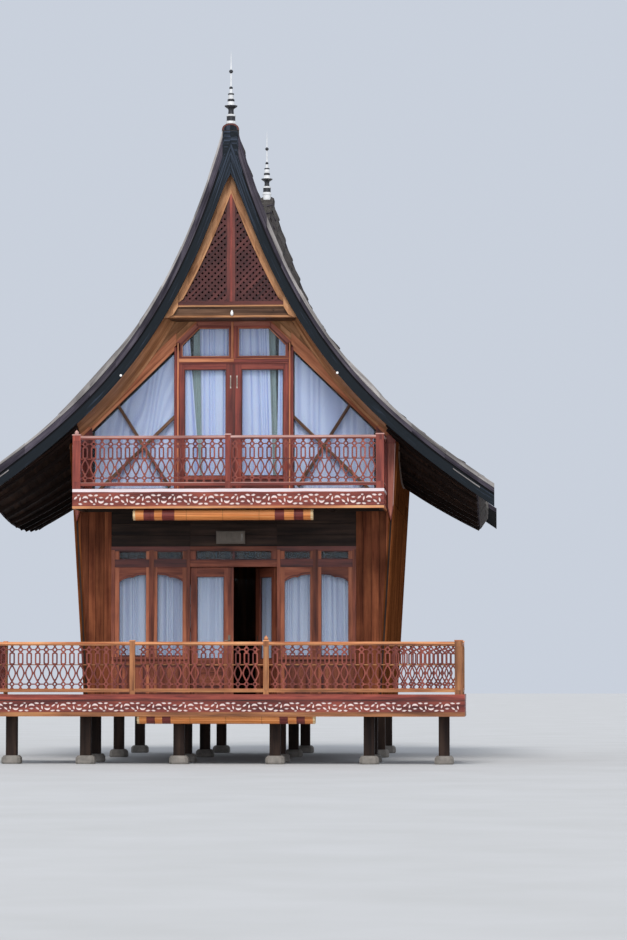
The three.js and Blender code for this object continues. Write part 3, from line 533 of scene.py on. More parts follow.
# %% The saw
def sawn(loops, thickness, edge=0.0015):
    """Cuts a board to closed outlines, with holes where one outline lies inside another."""
    drawing = bpy.data.curves.new("sawing", "CURVE")
    drawing.dimensions = "2D"
    drawing.fill_mode = "BOTH"
    drawing.extrude = thickness / 2 - edge
    drawing.bevel_depth = edge
    drawing.bevel_resolution = 0
    drawing.offset = -edge
    for loop in loops:
        line = drawing.splines.new("POLY")
        line.points.add(len(loop) - 1)
        for point, (u, z) in zip(line.points, loop):
            point.co = (u, z, 0, 1)
        line.use_cyclic_u = True
    holder = added("sawing", drawing)
    cut = bpy.data.meshes.new_from_object(holder.evaluated_get(bpy.context.evaluated_depsgraph_get()))
    merger = bmesh.new()
    merger.from_mesh(cut)
    bmesh.ops.remove_doubles(merger, verts=merger.verts, dist=1e-5)
    bmesh.ops.dissolve_degenerate(merger, edges=merger.edges, dist=1e-6)
    points = [(v.co.x, v.co.z, v.co.y) for v in merger.verts]
    merger.verts.index_update()
    faces = [tuple(v.index for v in face.verts) for face in merger.faces]
    merger.free()
    bpy.data.objects.remove(holder)
    bpy.data.curves.remove(drawing)
    bpy.data.meshes.remove(cut)
    return points, faces


def laid(bench, board, u, depth, z, **how):
    """Lays a sawn board on a bench at a place."""
    points, faces = board
    bench.solid([(u + a, depth + b, z + c) for a, b, c in points], faces, **how)


def extent(outline):
    """The lowest and the highest u of an outline."""
    return min(u for u, _ in outline), max(u for u, _ in outline)


def clipped(outline, normal, limit):
    """The part of an outline on the low side of a straight line."""
    kept = []
    for (u0, z0), (u1, z1) in zip(outline, outline[1:] + outline[:1]):
        side0 = u0 * normal[0] + z0 * normal[1] - limit
        side1 = u1 * normal[0] + z1 * normal[1] - limit
        if side0 <= 0:
            kept.append((u0, z0))
        if (side0 < 0 < side1) or (side1 < 0 < side0):
            share = side0 / (side0 - side1)
            kept.append((u0 + share * (u1 - u0), z0 + share * (z1 - z0)))
    return kept


def planks(outline, width, gap, angle, jitter=None):
    """Cuts an outline into planks side by side, which run at an angle. Jitter varies their widths."""
    run = (math.cos(math.radians(angle)), math.sin(math.radians(angle)))
    across = (run[1], -run[0])
    offsets = [u * across[0] + z * across[1] for u, z in outline]
    start = min(offsets)
    while start < max(offsets) - gap:
        end = start + width * (1 if jitter is None else 1 + chance.uniform(-jitter, jitter))
        plank = clipped(clipped(outline, across, end - gap), (-across[0], -across[1]), -start)
        yield plank, run, across
        start = end


def planked(bench, outline, near, far, width, gap, angle=90.0, jitter=0.0, **how):
    """Covers an outline with planks."""
    for plank, run, _ in planks(outline, width, gap, angle, jitter):
        if len(plank) > 2:
            bench.plate(plank, near, far, along=(run[0], 0, run[1]), **how)


print("saw ready")

# %% [markdown]
# ## The shape of the roof
# The roof is the hardest form on this house: each end rises to a high narrow peak, the ridge
# sags between the peaks, and the slopes flare out near the eaves. A few short formulas describe
# it. The same values shaped the solids, so thatch, rafters and walls all meet it.

# %% Formulas of the roof
roof_front, roof_rear = -3.70, 4.65
slab_front, slab_rear = -3.6197, 4.5697
eave_half, barge_half = 4.27, 4.44
apex_height = 10.80
slab_thickness = 0.18
shoulder_height, flare = 7.16, 0.585
peak_rise, peak_width = 3.94, 1.22
ridge_sag, eave_sag = 1.3, 0.48
wall_lean, wall_thickness = 0.0605, 0.0803


def sag_share(y):
    along = (y - roof_front) / (roof_rear - roof_front)
    return 4 * along * (1 - along)


def profile(x):
    """Height of a gable's outline at a distance from the middle."""
    return shoulder_height - flare * x + peak_rise * math.exp(-x / peak_width)


def slope(x):
    return -flare - peak_rise / peak_width * math.exp(-x / peak_width)


def sag(x, y):
    """How far the roof hangs below the gables' outline."""
    return sag_share(y) * (ridge_sag + (eave_sag - ridge_sag) * x / barge_half)


def ridge_top(y):
    return apex_height - sag(0, y)


def below(x, depth):
    """A height that lies a depth under the gable's outline, measured square to it."""
    return profile(x) - depth * math.hypot(1, slope(x))


def underside(x, y):
    return below(x, slab_thickness) - sag(x, y)


def side_outer(z):
    """The outer face of the side walls, which lean outward as they rise."""
    return 2.54 + (z - 1.1) * wall_lean


def side_inner(z):
    return side_outer(z) - wall_thickness


def evenly(first, last, steps):
    """Values from first to last in equal steps."""
    return [first + (last - first) * i / steps for i in range(steps + 1)]


print("ridge from", round(apex_height, 2), "down to", round(ridge_top(0.475), 2), "metres")

# %% [markdown]
# ## Ground posts
# The house stands clear of the ground on rows of squared posts, each on a rough stone. A beam
# joins each row. The stones are short strips of eight-sided sections, so that their corners
# are knocked off, and the timbers get a wide soft bevel because they are hewn, not planed.


# %% Posts, beams and stone feet
def foot_stone(bench, x, y):
    sections = []
    for half, z in ((0.15, 0.0), (0.16, 0.03), (0.155, 0.1), (0.125, 0.14)):
        quarter = [(half, half * 0.7), (half * 0.7, half)]
        back = quarter + [(-a, b) for a, b in reversed(quarter)]
        sections.append([(x + way * a, y + way * b, z) for way in (1, -1) for a, b in back])
    bench.strip(sections, coat=1)


beam_half, post_half = 0.075, 0.09
house_posts = (0.8, 2.36)
for row, line, places, reach in (
        ("veranda", -4.15, (*house_posts, 3.6), 3.85), ("front", -2.9, house_posts, 2.52),
        ("middle", 0.45, house_posts, 2.52), ("rear", 3.8, house_posts, 2.52)):
    ground = Bench()
    ground.board((-reach, line - beam_half, 0.8), (reach, line + beam_half, 0.999))
    for x in [side * place for place in places for side in (-1, 1)]:
        ground.board((x - post_half, line - post_half, 0.1), (x + post_half, line + post_half, 0.93))
        foot_stone(ground, x, line)
    ground.make("ground_timbers_" + row, [dark_timber, stone], "dark_wood", ["post_row_" + row], edge=0.01)

# %% [markdown]
# ## Floors
# Each floor is boards on joists inside a rim. The model has a plain plate for each. Here the
# boards lie side by side with a thin gap, and the joists below show from under the house.


# %% Boarded floors
board_width, board_thickness, board_gap = 0.14, 0.03, 0.004
rim, joist_half = 0.035, 0.03


def boarded_floor(name, node, slot="brown_boards", spacing=0.62):
    low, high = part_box(node)
    floor = Bench()
    front = low.y
    while front < high.y - 0.02:
        back = min(front + board_width, high.y)
        floor.board((low.x, front, high.z - board_thickness), (high.x, back - board_gap, high.z))
        front = back
    under = high.z - board_thickness - 0.0005
    for x in evenly(low.x + joist_half, high.x - joist_half, round((high.x - low.x) / spacing)):
        floor.board((x - joist_half, low.y + rim, low.z), (x + joist_half, high.y - rim, under), coat=1)
    for y in (low.y, high.y - rim):
        floor.board((low.x, y, low.z), (high.x, y + rim, under), coat=1)
    floor.make(name, [brown_wood, dark_timber], slot, [node], edge=0.002)


boarded_floor("floor_boards_lower", "lower_floor")
boarded_floor("floor_boards_upper", "upper_floor")
boarded_floor("deck_boards_veranda", "veranda_deck")
boarded_floor("deck_boards_balcony", "balcony_deck", "dark_wood", spacing=0.86)

# %% [markdown]
# ## Side walls
# The side walls are upright planks that lean outward with the wall and stop under the curved
# roof. Each wall has an outer and an inner skin with a dark core between, so that no light
# comes through the gaps. The top of every plank is found by stepping towards the height where
# the leaning wall meets the roof's underside.


# %% Side walls
wall_front, wall_rear = -2.98, 3.92
lower_foot, upper_foot = 1.1003, 4.5703


def wall_top(y, inset):
    """Height where the wall's face, moved in by an inset, meets the roof's underside."""
    z = 5.2
    for _ in range(12):
        z = underside(side_outer(z) - inset, y) - 0.004
    return z


def wall_corner(inset, y, z=None):
    """A point on the wall's face moved in by an inset, at a height or else under the roof."""
    z = z or wall_top(y, inset)
    return (side_outer(z) - inset, y, z)


def wall_plank(bench, y0, y1, outer, inner, foot=lower_foot, top=None, coat=0):
    """A leaning upright plank between two insets from the wall's outer face."""
    corners = [wall_corner(inset, y, z) for y in (y0, y1)
               for inset, z in ((outer, foot), (inner, foot), (inner, top), (outer, top))]
    faces = [(0, 1, 2, 3), (4, 7, 6, 5), (0, 4, 5, 1), (1, 5, 6, 2), (2, 6, 7, 3), (3, 7, 4, 0)]
    bench.solid(corners, faces, along=(0.06, 0, 1), coat=coat)


skin, core, lining = (0.0, 0.026), (0.027, 0.055), (0.056, 0.08)
skirting_top, corner_board = 1.24, 0.14
for side, seat in both_sides:
    wall = Bench(seat)
    start = wall_front
    while start < wall_rear - 0.01:
        end = min(start + chance.uniform(0.15, 0.18), wall_rear)
        wall_plank(wall, start, end - 0.005, chance.uniform(0.0, 0.004), skin[1])
        wall_plank(wall, start, end - 0.003, *lining)
        wall_plank(wall, start, end, *core, coat=1)
        start = end
    wall_plank(wall, wall_front + 0.05, wall_rear - 0.05, -0.016, 0.001, 4.38, 4.6)
    wall_plank(wall, wall_front, wall_rear, -0.02, 0.001, lower_foot, skirting_top)
    for y in (wall_front, wall_rear - corner_board):
        wall_plank(wall, y, y + corner_board, -0.014, 0.001)
    wall.make("side_boards_" + side, [side_wood, dark_timber], "brown_boards", ["side_wall_" + side],
              edge=0.0025)

# %% [markdown]
# ## Lower front
# The lower front has a pair of tall windows on each side of the doorway. Each pair sits in red
# posts, with a solid panel below, a sill, an arched head cut in two lobes, and a small light
# above. One side is drawn and then laid a second time turned over. Posts stand proud of the
# stiles, and the stiles of the panels, because those steps are what catch the light.

# %% Posts, rails and windows of the lower front
glass_side = -2.8903
jamb, field_end = 0.7403, 2.09
plinth_top, panel_top, sill_top = 1.16, 1.66, 1.78
head_low, light_low, light_high, lights_top, band_top = 3.305, 3.44, 3.58, 3.66, 4.4497
hinge_line = (0.7375, -2.882)
hinge_levels, knuckle = (1.4, 2.2, 3.0), 0.0395


def upright(bench, u0, u1, z0, z1, proud=0.0, coat=0):
    bench.board((u0, wall_front - proud, z0), (u1, glass_side, z1), coat=coat)


def arched_head(bench, low_side, high_side):
    """The head over a pane: its lower edge climbs in two lobes towards the pair's middle."""
    edge = [(0.0, 3.055), (0.08, 3.085), (0.18, 3.11), (0.3, 3.128), (0.42, 3.136), (0.5, 3.13),
            (0.56, 3.15), (0.66, 3.168), (0.8, 3.178), (1.0, 3.18)]
    line = [(low_side + share * (high_side - low_side), z) for share, z in edge]
    outline = line + [(high_side, head_low), (low_side, head_low)]
    bench.plate(outline, wall_front + 0.012, glass_side, along=sideways)
    bead = [(u, z + 0.018) for u, z in line]
    bead += [(u, z + 0.016) for u, z in reversed(bead)]
    bench.plate(bead, wall_front + 0.004, wall_front + 0.02, along=sideways, coat=1)


def dark_header(bench, u0, u1, coat):
    """Level dark boards over the small lights, up to the balcony. Their dark coat is partly their own stain
    and partly painted shade under the balcony.
    """
    field = oblong(u0, u1, lights_top, band_top)
    planked(bench, field, wall_front + 0.01, wall_front + 0.035, 0.2, 0.005, 0, coat=coat)
    bench.plate(field, wall_front + 0.036, glass_side, coat=coat)


def hinge_knuckle(bench, level, coat, *flaps):
    """One knuckle of a hinge, and the flaps of metal that tie it to the wood beside it."""
    bench.turned([(0.007, 0.0), (0.007, knuckle)], (*hinge_line, level), 12, coat=coat)
    for u0, u1, y in flaps:
        bench.board((u0, y, level), (u1, -2.886, level + knuckle), coat=coat)


for side, seat in both_sides:
    front = Bench(seat)
    # Coat 6 on the recessed stiles is a lighter amber red, partly painted light against their shadow.
    for u0, u1, proud, coat in ((jamb, 0.80, 0.012, 0), (0.80, 0.87, -0.01, 6), (1.305, 1.36, -0.01, 6),
                                (1.36, 1.44, 0.008, 0), (1.44, 1.495, -0.01, 6), (1.955, 2.03, -0.01, 6),
                                (2.03, field_end, 0.01, 0)):
        upright(front, u0, u1, plinth_top, 3.60, proud, coat)
    for z0, z1, proud, coat in ((lower_foot, plinth_top, 0.012, 0), (panel_top, 1.735, 0.002, 0),
                                (1.735, sill_top, 0.03, 0), (head_low, light_low, 0.0, 1),
                                (light_high, lights_top, 0.006, 1)):
        upright(front, jamb, field_end, z0, z1, proud, coat)
    for u0, u1 in ((0.87, 1.305), (1.495, 1.955)):
        upright(front, u0, u1, plinth_top, panel_top, -0.03, 2)
        front.board((u0 + 0.05, wall_front + 0.018, 1.22), (u1 - 0.05, wall_front + 0.031, 1.60))
        for z0, z1 in ((sill_top, sill_top + 0.03), (light_low, light_low + 0.012),
                       (light_high - 0.012, light_high)):
            upright(front, u0, u1, z0, z1, -0.02, 1)
    arched_head(front, 0.87, 1.305)
    arched_head(front, 1.955, 1.495)
    corner = [(field_end, lower_foot), (side_inner(lower_foot), lower_foot), (side_inner(band_top), band_top),
              (field_end, band_top)]
    planked(front, corner, wall_front, wall_front + 0.03, 0.125, 0.006, 90, 0.15, coat=3)
    front.plate(corner, wall_front + 0.031, glass_side, coat=4)
    dark_header(front, jamb, field_end - 0.0005, 4)
    for level in hinge_levels:
        hinge_knuckle(front, level, 5, (jamb, 0.7845, glass_side - 0.001), (0.7375, 0.7405, -2.889))
    coats = [front_wood, dark_red_wood, dark_red_wood, brown_wood, dark_timber, hinge_metal, amber_red]
    front.make("window_wall_" + side, coats, "red_wood", ["lower_front_" + side])

# %% [markdown]
# ## Head of the doorway
# Over the doors runs a head rail, a long low light and a deep header. Above it the wall is
# plain dark boards under the balcony; their dark coat is partly painted shade. The shallow box
# over the doorway holds a lamp.

# %% Door head and lamp box
head = Bench()
head_half, light_half = 0.7397, 0.64
for z0, z1, proud, coat in ((3.31, 3.42, 0.012, 0), (3.42, light_low, 0.0, 1),
                            (light_high, lights_top, 0.01, 0)):
    upright(head, -head_half, head_half, z0, z1, proud, coat)
for u0, u1 in ((-head_half, -light_half), (light_half, head_half)):
    upright(head, u0, u1, light_low, light_high)
dark_header(head, -head_half, head_half, 2)
upright(head, -0.02, 0.02, light_low, light_high, -0.02, 1)
head.make("door_head_boards", [front_wood, dark_red_wood, dark_timber], "red_wood", ["door_head"])

box = Bench()
box.board((-0.29, -3.065, 3.70), (0.2, -2.9805, 3.92))
box.board((-0.275, -3.09, 3.715), (0.185, -3.064, 3.905))
for x in evenly(-0.25, 0.09, 8):
    box.board((x, -3.093, 3.735), (x + 0.012, -3.089, 3.885))
box.board((0.135, -3.094, 3.75), (0.17, -3.089, 3.87), coat=1)
box.make("lamp_box", [box_paint, stone], "grey_plastic", ["door_lamp_box"], edge=0.006)

# %% [markdown]
# ## Entrance doors
# Each leaf is a frame of stiles and rails round a tall pane, with a raised panel below. Both
# leaves are drawn closed. The right one stands open in the photograph, so its drawing is turned
# about its hinge line by the seat. The leaves ride on the bodies that swing.

# %% The two leaves
leaf_front, leaf_back = -2.935, -2.89
leaf_foot, leaf_top = 1.108, 3.302
stile_in, stile_out, pane_low, pane_high = 0.163, 0.627, 1.75, 3.15
opened = math.radians(-60)


def swung(x, y, z):
    """The open right leaf: the closed drawing turned inward about its hinges."""
    a, b = x - hinge_line[0], y - hinge_line[1]
    return (hinge_line[0] + a * math.cos(opened) - b * math.sin(opened),
            hinge_line[1] + a * math.sin(opened) + b * math.cos(opened), z)


leaf_sides = (("left", mirrored), ("right", swung))
# Each part: from u to u, from z to z, how far in from the leaf's face and from its back, and its coat.
leaf_parts = [(u0, u1, leaf_foot, leaf_top, 0.0, 0.0, 0)
              for u0, u1 in ((0.003, stile_in), (stile_out, 0.735))]
leaf_parts += [(stile_in, stile_out, z0, z1, 0.0, 0.0, 0)
               for z0, z1 in ((leaf_foot, 1.25), (1.62, pane_low), (pane_high, leaf_top))]
leaf_parts += [(stile_in, stile_out, 1.25, 1.62, 0.014, 0.014, 1),
               (0.205, 0.585, 1.29, 1.58, 0.006, 0.006, 0)]
for bead in ((stile_in, 0.175, pane_low, pane_high), (0.615, stile_out, pane_low, pane_high),
             (0.175, 0.615, pane_low, 1.762), (0.175, 0.615, 3.138, pane_high)):
    leaf_parts += [(*bead, 0.004, 0.027, 1), (*bead, 0.027, 0.004, 1)]
leaf_parts += [(0.055, 0.095, 1.95, 2.15, -0.004, 0.045, 2), (0.055, 0.095, 1.95, 2.15, 0.045, -0.004, 2)]

for side, seat in leaf_sides:
    leaf = Bench(seat)
    for u0, u1, z0, z1, front, back, coat in leaf_parts:
        leaf.board((u0, leaf_front + front, z0), (u1, leaf_back - back, z1), coat=coat)
    for depth, way in ((leaf_front - 0.004, -1), (leaf_back + 0.004, 1)):
        handle = ((0.075, -0.002, 2.06), (0.075, 0.03, 2.06), (0.078, 0.036, 2.06), (0.15, 0.036, 2.055))
        leaf.rod([(u, depth + out * way, z) for u, out, z in handle], 0.008, coat=2)
    for level in hinge_levels:
        hinge_knuckle(leaf, level + 0.0403, 3, (0.6925, 0.735, leaf_back - 0.001), (0.7345, 0.7375, -2.889))
    leaf.make("entrance_leaf_" + side, [front_wood, dark_red_wood, hinge_metal, hinge_metal], "red_wood",
              [f"door_{side}_frame"], "door_" + side, edge=0.0025)

# %% [markdown]
# ## Fretwork railings
# Every upright in the railings is one sawn board: a ring at the foot, a pointed loop, two slim
# bars and a ring at the head, with small lugs that touch the next board. The outline is drawn
# as half widths at a series of heights and turned over for the other side. The board is sawn
# once and laid on the bench some 130 times.

# %% One fretwork board
fret_pitch = 0.1425
fret_height = 0.73


def fret_outline():
    """Half widths at a series of heights, then the same turned over."""
    lug = fret_pitch / 2 - 0.0003

    def arc(radius, middle, *turns):
        return [(radius * math.sin(t), middle - radius * math.cos(t)) for t in turns]

    half = [(0.03, 0.0), (0.028, 0.012), (0.014, 0.028), (0.016, 0.04)]
    half += arc(0.04, 0.08, 0.6, 1.0, 1.3) + [(lug, 0.07), (lug, 0.09)] + arc(0.04, 0.08, 1.84, 2.14, 2.6)
    half += [(0.014, 0.124), (0.03, 0.155), (0.052, 0.2), (0.066, 0.24), (lug, 0.252), (lug, 0.272),
             (0.066, 0.284), (0.052, 0.324), (0.032, 0.365), (0.018, 0.39), (0.018, 0.402),
             (0.038, 0.408), (0.047, 0.424), (0.047, 0.581), (0.038, 0.596), (0.018, 0.606)]
    half += arc(0.044, 0.65, 0.6, 1.0, 1.35) + [(lug, 0.641), (lug, 0.659)]
    half += arc(0.044, 0.65, 1.79, 2.14, 2.6)
    half += [(0.015, 0.7), (0.028, 0.718), (0.03, fret_height)]
    return half + [(-u, z) for u, z in reversed(half)]


def fret_holes():
    """A round hole near each end, a pointed loop and a slot between them."""
    half = [(0.013, 0.172), (0.031, 0.207), (0.043, 0.245), (0.043, 0.279), (0.031, 0.317), (0.013, 0.352)]
    loop = [(0.0, 0.156), *half, (0.0, 0.368)] + [(-u, z) for u, z in reversed(half)]
    slot = [(-0.017, 0.426), (0.017, 0.426), (0.023, 0.436), (0.023, 0.570), (0.017, 0.580), (-0.017, 0.580),
            (-0.023, 0.570), (-0.023, 0.436)]
    return [ring(0, 0.08, 0.017, 10), loop, slot, ring(0, 0.65, 0.020, 12)]


fret_board = sawn([fret_outline(), *fret_holes()], 0.018, 0.002)
print("one fretwork board:", len(fret_board[0]), "points,", len(fret_board[1]), "faces")

# %% [markdown]
# ## Railing panels
# A panel is a row of fretwork boards between a moulded handrail and a foot rail, with posts.
# It is drawn once along a straight line and seated on the front, on the sides and on the short
# return. Some posts carry a turned knob. The caps of rails and posts have a paler coat, orange
# on the veranda and salmon pink on the balcony, partly the wood's colour and partly painted
# light on their tops, which face the sky.


# %% Railing panels
def panel_seat(corner, way, out):
    """Seats a panel: it starts at a corner, runs one way, and its face looks out the other."""
    return lambda u, depth, z: (corner[0] + way[0] * u + out[0] * depth,
                                corner[1] + way[1] * u + out[1] * depth, z)


knob_profile = [(0.02, 0.0), (0.026, 0.006), (0.018, 0.014), (0.034, 0.032), (0.038, 0.046), (0.034, 0.06),
                (0.02, 0.076), (0.008, 0.088), (0.001, 0.098)]


def railing(bench, length, foot, bottom, top, posts=(), knobs=()):
    """A panel from u = 0 to its length. Its back is at depth 0 and its face at 0.06."""
    bench.board((0, 0.004, top - 0.06), (length, 0.056, top - 0.034))
    # Coat 1, the paler cap, is partly painted light on the tops that face the sky.
    bench.board((0, 0.0, top - 0.036), (length, 0.06, top), coat=1)
    bench.board((0, 0.006, bottom), (length, 0.054, bottom + 0.05))
    bench.board((0, 0.002, bottom + 0.046), (length, 0.058, bottom + 0.058), coat=1)
    bench.board((0, 0.008, bottom + 0.444), (length, 0.02, bottom + 0.46))
    edges = [(u - width / 2, u + width / 2) for u, width in posts]
    starts = [0.0] + [end for _, end in edges]
    ends = [start for start, _ in edges] + [length]
    for start, end in zip(starts, ends):
        count = int((end - start + 0.004) / fret_pitch)
        first = (start + end - (count - 1) * fret_pitch) / 2
        for i in range(count):
            laid(bench, fret_board, first + i * fret_pitch, 0.03, bottom + 0.052, coat=2)
    for (u, width), (start, end) in zip(posts, edges):
        bench.board((start, 0.0, foot), (end, 0.065, top + 0.01), coat=3)
        bench.board((start - 0.006, -0.002, top + 0.01), (end + 0.006, 0.069, top + 0.028), coat=1)
        bench.board((start + 0.015, 0.064, foot + 0.12), (end - 0.015, 0.069, top - 0.08))
    for u in knobs:
        bench.turned(knob_profile, (u, 0.032, top + 0.006), 12, coat=1)


balcony_half, balcony_front, balcony_back = 2.61, -4.13, wall_front - 0.0003
veranda_half, veranda_front = 3.95, -4.65
face_half, post, rail_depth = veranda_half - 0.03, 0.135, 0.065
for name, half, face, back, levels, posts, knobs, coats in (
        ("balcony", balcony_half, balcony_front + 0.065, balcony_back, (4.5803, 4.63, 5.47),
         [(balcony_half, 0.09)], [post / 2], [red_wood, salmon_wood, fret_wood, red_wood]),
        ("veranda", face_half, veranda_front + 0.085, wall_front, (lower_foot, 1.19, 2.02),
         [(face_half - 1.535, 0.09), (face_half + 0.68, 0.09)], [face_half + 0.68],
         [amber_wood, orange_wood, fret_wood, amber_wood])):
    rail = Bench(panel_seat((-half, face), (1, 0), (0, -1)))
    railing(rail, 2 * half, *levels, [(post / 2, post), *posts, (2 * half - post / 2, post)], knobs)
    rail.make(f"fretwork_{name}_front", coats, "red_wood", [name + "_rail_front"], edge=0)
    start = face + 0.0003
    for side, way in (("left", -1), ("right", 1)):
        rail = Bench(panel_seat((way * (half - rail_depth), start), (0, 1), (way, 0)))
        railing(rail, back - start, *levels, [(back - start - 0.04, 0.08)])
        if (name, side) == ("veranda", "right"):
            return_start = side_outer(levels[-1]) + 0.005
            rail.seat = panel_seat((return_start, wall_front), (1, 0), (0, -1))
            railing(rail, half - rail_depth - return_start + 0.01, *levels)
        rail.make(f"fretwork_{name}_{side}", coats, "red_wood", [f"{name}_rail_{side}"], edge=0)

# %% [markdown]
# ## Scrollwork fascias
# The edges of both platforms carry an openwork board: arches, crescents and pairs of small
# leaves cut through red wood over a white painted backing. The pattern repeats every 0.53 m,
# and its second half is the first turned upside down. All the cuts of one side are given to
# the saw in one drawing, so the board has no joints.

# %% The scroll pattern
scroll_period = 0.528
first_arch = 0.218


def leaf_cut(u, z, length, width, turn):
    """A pointed leaf, turned by an angle in degrees."""
    half = [(-0.5, 0.0), (-0.25, 0.38), (0.05, 0.5), (0.3, 0.32), (0.5, 0.0)]
    whole = half + [(a, -b) for a, b in reversed(half[1:-1])]
    c, s = math.cos(math.radians(turn)), math.sin(math.radians(turn))
    return [(u + a * length * c - b * width * s, z + a * length * s + b * width * c) for a, b in whole]


def crescent_cut(u, z, radius, start, end, thick):
    """An arc that is thick in the middle and pointed at its ends."""
    steps = 9
    outer, inner = [], []
    for i, angle in enumerate(evenly(start, end, steps)):
        t = math.radians(angle)
        swell = thick / 2 * math.sin(math.pi * (i + 0.35) / (steps + 0.7)) + 0.002
        for edge, reach in ((outer, radius + swell), (inner, radius - swell)):
            edge.append((u + reach * math.cos(t), z + reach * math.sin(t)))
    return outer + inner[::-1]


def half_scroll(u0, way, scale):
    """Half a repeat: an arch over a leaf, and five more leaves. Way -1 turns it upside down."""
    cuts = [crescent_cut(0.0, -0.002, 0.048, 20, 160, 0.036)]
    for u, z, length, width, turn in ((0.0, -0.034, 0.078, 0.030, 0), (-0.088, 0.012, 0.086, 0.030, 80),
                                      (0.100, -0.030, 0.084, 0.036, -40), (0.087, 0.072, 0.090, 0.036, -8),
                                      (0.180, 0.072, 0.080, 0.036, 8), (0.150, -0.076, 0.052, 0.028, 0)):
        cuts.append(leaf_cut(u, z, length, width, turn))
    return [[(u0 + u, way * z * scale) for u, z in cut[::way]] for cut in cuts]


def scroll_board(length, middle, height, scale):
    """One long board with the pattern cut through it."""
    loops = [oblong(0, length, middle - height / 2, middle + height / 2)]
    for i in range(-1, math.ceil(2 * length / scroll_period)):
        for cut in half_scroll(first_arch + i * scroll_period / 2, -1 if i % 2 else 1, scale):
            left, right = extent(cut)
            if left > 0.015 and right < length - 0.015:
                loops.append([(u, middle + z) for u, z in cut])
    return sawn(loops, 0.01, 0.001)


def fascia(bench, length, low, high, band_low, band_high, scale):
    """A fascia from u = 0, with its back at depth 0 and its face at 0.04."""
    bench.board((0, 0.0, low), (length, 0.02, high), coat=3)
    bench.board((0, 0.02, band_low), (length, 0.026, band_high), coat=1)
    board = scroll_board(length, (band_low + band_high) / 2, band_high - band_low, scale)
    laid(bench, board, 0, 0.031, 0, along=sideways)
    bench.board((0, 0.018, low), (length, 0.04, band_low + 0.004), coat=2)


def cream_strip(bench, length, high, steps=60):
    """The painted strip over the balcony's scrollwork, a little wavy with age."""
    sections = []
    for u in evenly(0, length, steps):
        wave = 0.0025 * math.sin(u * 5.1) + 0.0015 * math.sin(u * 13 + 1)
        sections.append([(u, 0.016, high - 0.054), (u, 0.0385, high - 0.054 + wave),
                         (u, 0.0385, high - 0.004 + wave), (u, 0.016, high)])
    bench.strip(sections, coat=4)


for name, half, front, back, low, high, band_low, band_high, scale in (
        ("balcony", balcony_half, balcony_front, balcony_back, 4.25, 4.58, 4.287, 4.515, 1.0),
        ("veranda", veranda_half, veranda_front, wall_front, 0.79, 1.0995, 0.858, 1.042, 0.84)):
    edging = Bench()
    runs = [(panel_seat((-half, front + 0.04), (1, 0), (0, -1)), 2 * half)]
    for way in (-1, 1):
        runs.append((panel_seat((way * (half - 0.04), front + 0.04), (0, 1), (way, 0)), back - front - 0.04))
    for edging.seat, length in runs:
        fascia(edging, length, low, high, band_low, band_high, scale)
        if name == "balcony":
            edging.board((0, 0.018, band_high - 0.002), (length, 0.036, high - 0.052))
            cream_strip(edging, length, high)
        else:
            edging.board((0, 0.02, band_high - 0.002), (length, 0.036, high - 0.02), coat=3)
            edging.board((0, 0.0, high - 0.0205), (length, 0.022, high), coat=3)
            edging.board((0, 0.024, high - 0.03), (length, 0.0395, high + 0.055))
    trim = amber_wood if name == "veranda" else orange_wood
    edging.make("scrollwork_" + name, [red_wood, scroll_white, trim, dark_red_wood, strip_cream], "red_wood",
                [name + "_fascia"], edge=0)

# %% [markdown]
# ## Rolled blinds
# Two blinds of thin split bamboo are rolled up and tied under the platforms. A rolled blind is
# a spiral of narrow slats, so that is how it is built: each slat is a short wide board set on
# a spiral line. Maroon bands were woven in near the ends, so those slats change finish along
# their length: each slat is laid in lengths, one for each band.

# %% Bamboo blinds
bamboo = wood("orange_bamboo", (176, 92, 40), (222, 138, 74), (244, 176, 112), 0.5, 0.14, 0.12)
maroon_bamboo = wood("maroon_bamboo", (84, 34, 32), (122, 54, 48), (150, 76, 64), 0.5, 0.16, 0.15)
pale_bamboo = wood("pale_bamboo_edge", (196, 160, 110), (228, 198, 150), (246, 224, 184), 0.55, 0.14, 0.12)


def rolled_blind(name, node, bands):
    low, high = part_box(node)
    y, z = (low.y + high.y) / 2, (low.z + high.z) / 2
    core, reach, turns = 0.03, (high.z - low.z) / 2 - 0.004, 5.2
    roll = Bench()
    hems = [low.x + 0.012, low.x + 0.05, high.x - 0.05, high.x - 0.012]
    cuts = sorted(hems + [edge for band in bands for edge in band])
    turn = 0.0
    while turn < turns * math.tau:
        radius = core + (reach - core) * turn / (turns * math.tau)
        shift = chance.uniform(-0.004, 0.004)
        tone = chance.random()
        c, s = math.cos(turn), math.sin(turn)
        corners = [(y + (radius + out) * c - side * s, z + (radius + out) * s + side * c)
                   for out, side in oblong(-0.002, 0.002, -0.0047, 0.0047)]
        for start, end in zip(cuts, cuts[1:]):
            banded = any(a < (start + end) / 2 < b for a, b in bands)
            at_end = (start == cuts[0] or end == cuts[-1]) and end - start < 0.06
            ends = [start + (shift if start == cuts[0] else 0), end + (shift if end == cuts[-1] else 0)]
            coat = 1 if banded else 2 if at_end else 0
            grain = [(a * 3, x, b * 3) for x in ends for a, b in corners]
            roll.strip([[(x, a, b) for a, b in corners] for x in ends], coat=coat, tone=tone, grain=grain)
        turn += 0.0105 / radius
    tie = ring(y, z, reach + 0.002, 24)
    for x in evenly(low.x + 0.3, high.x - 0.3, 4):
        roll.rod([(x, a, b) for a, b in tie + tie[:1]], 0.002, 5, coat=3)
    roll.make(name, [bamboo, maroon_bamboo, pale_bamboo, dark_timber], "striped_blind", [node], edge=0)


rolled_blind("bamboo_roll_upper", "blind_upper", [(-1.42, -1.24), (-1.11, -0.90), (0.78, 0.94), (1.10, 1.26)])
rolled_blind("bamboo_roll_lower", "blind_lower", [(-1.30, -1.16), (-1.04, -0.90), (0.90, 1.04), (1.18, 1.32)])

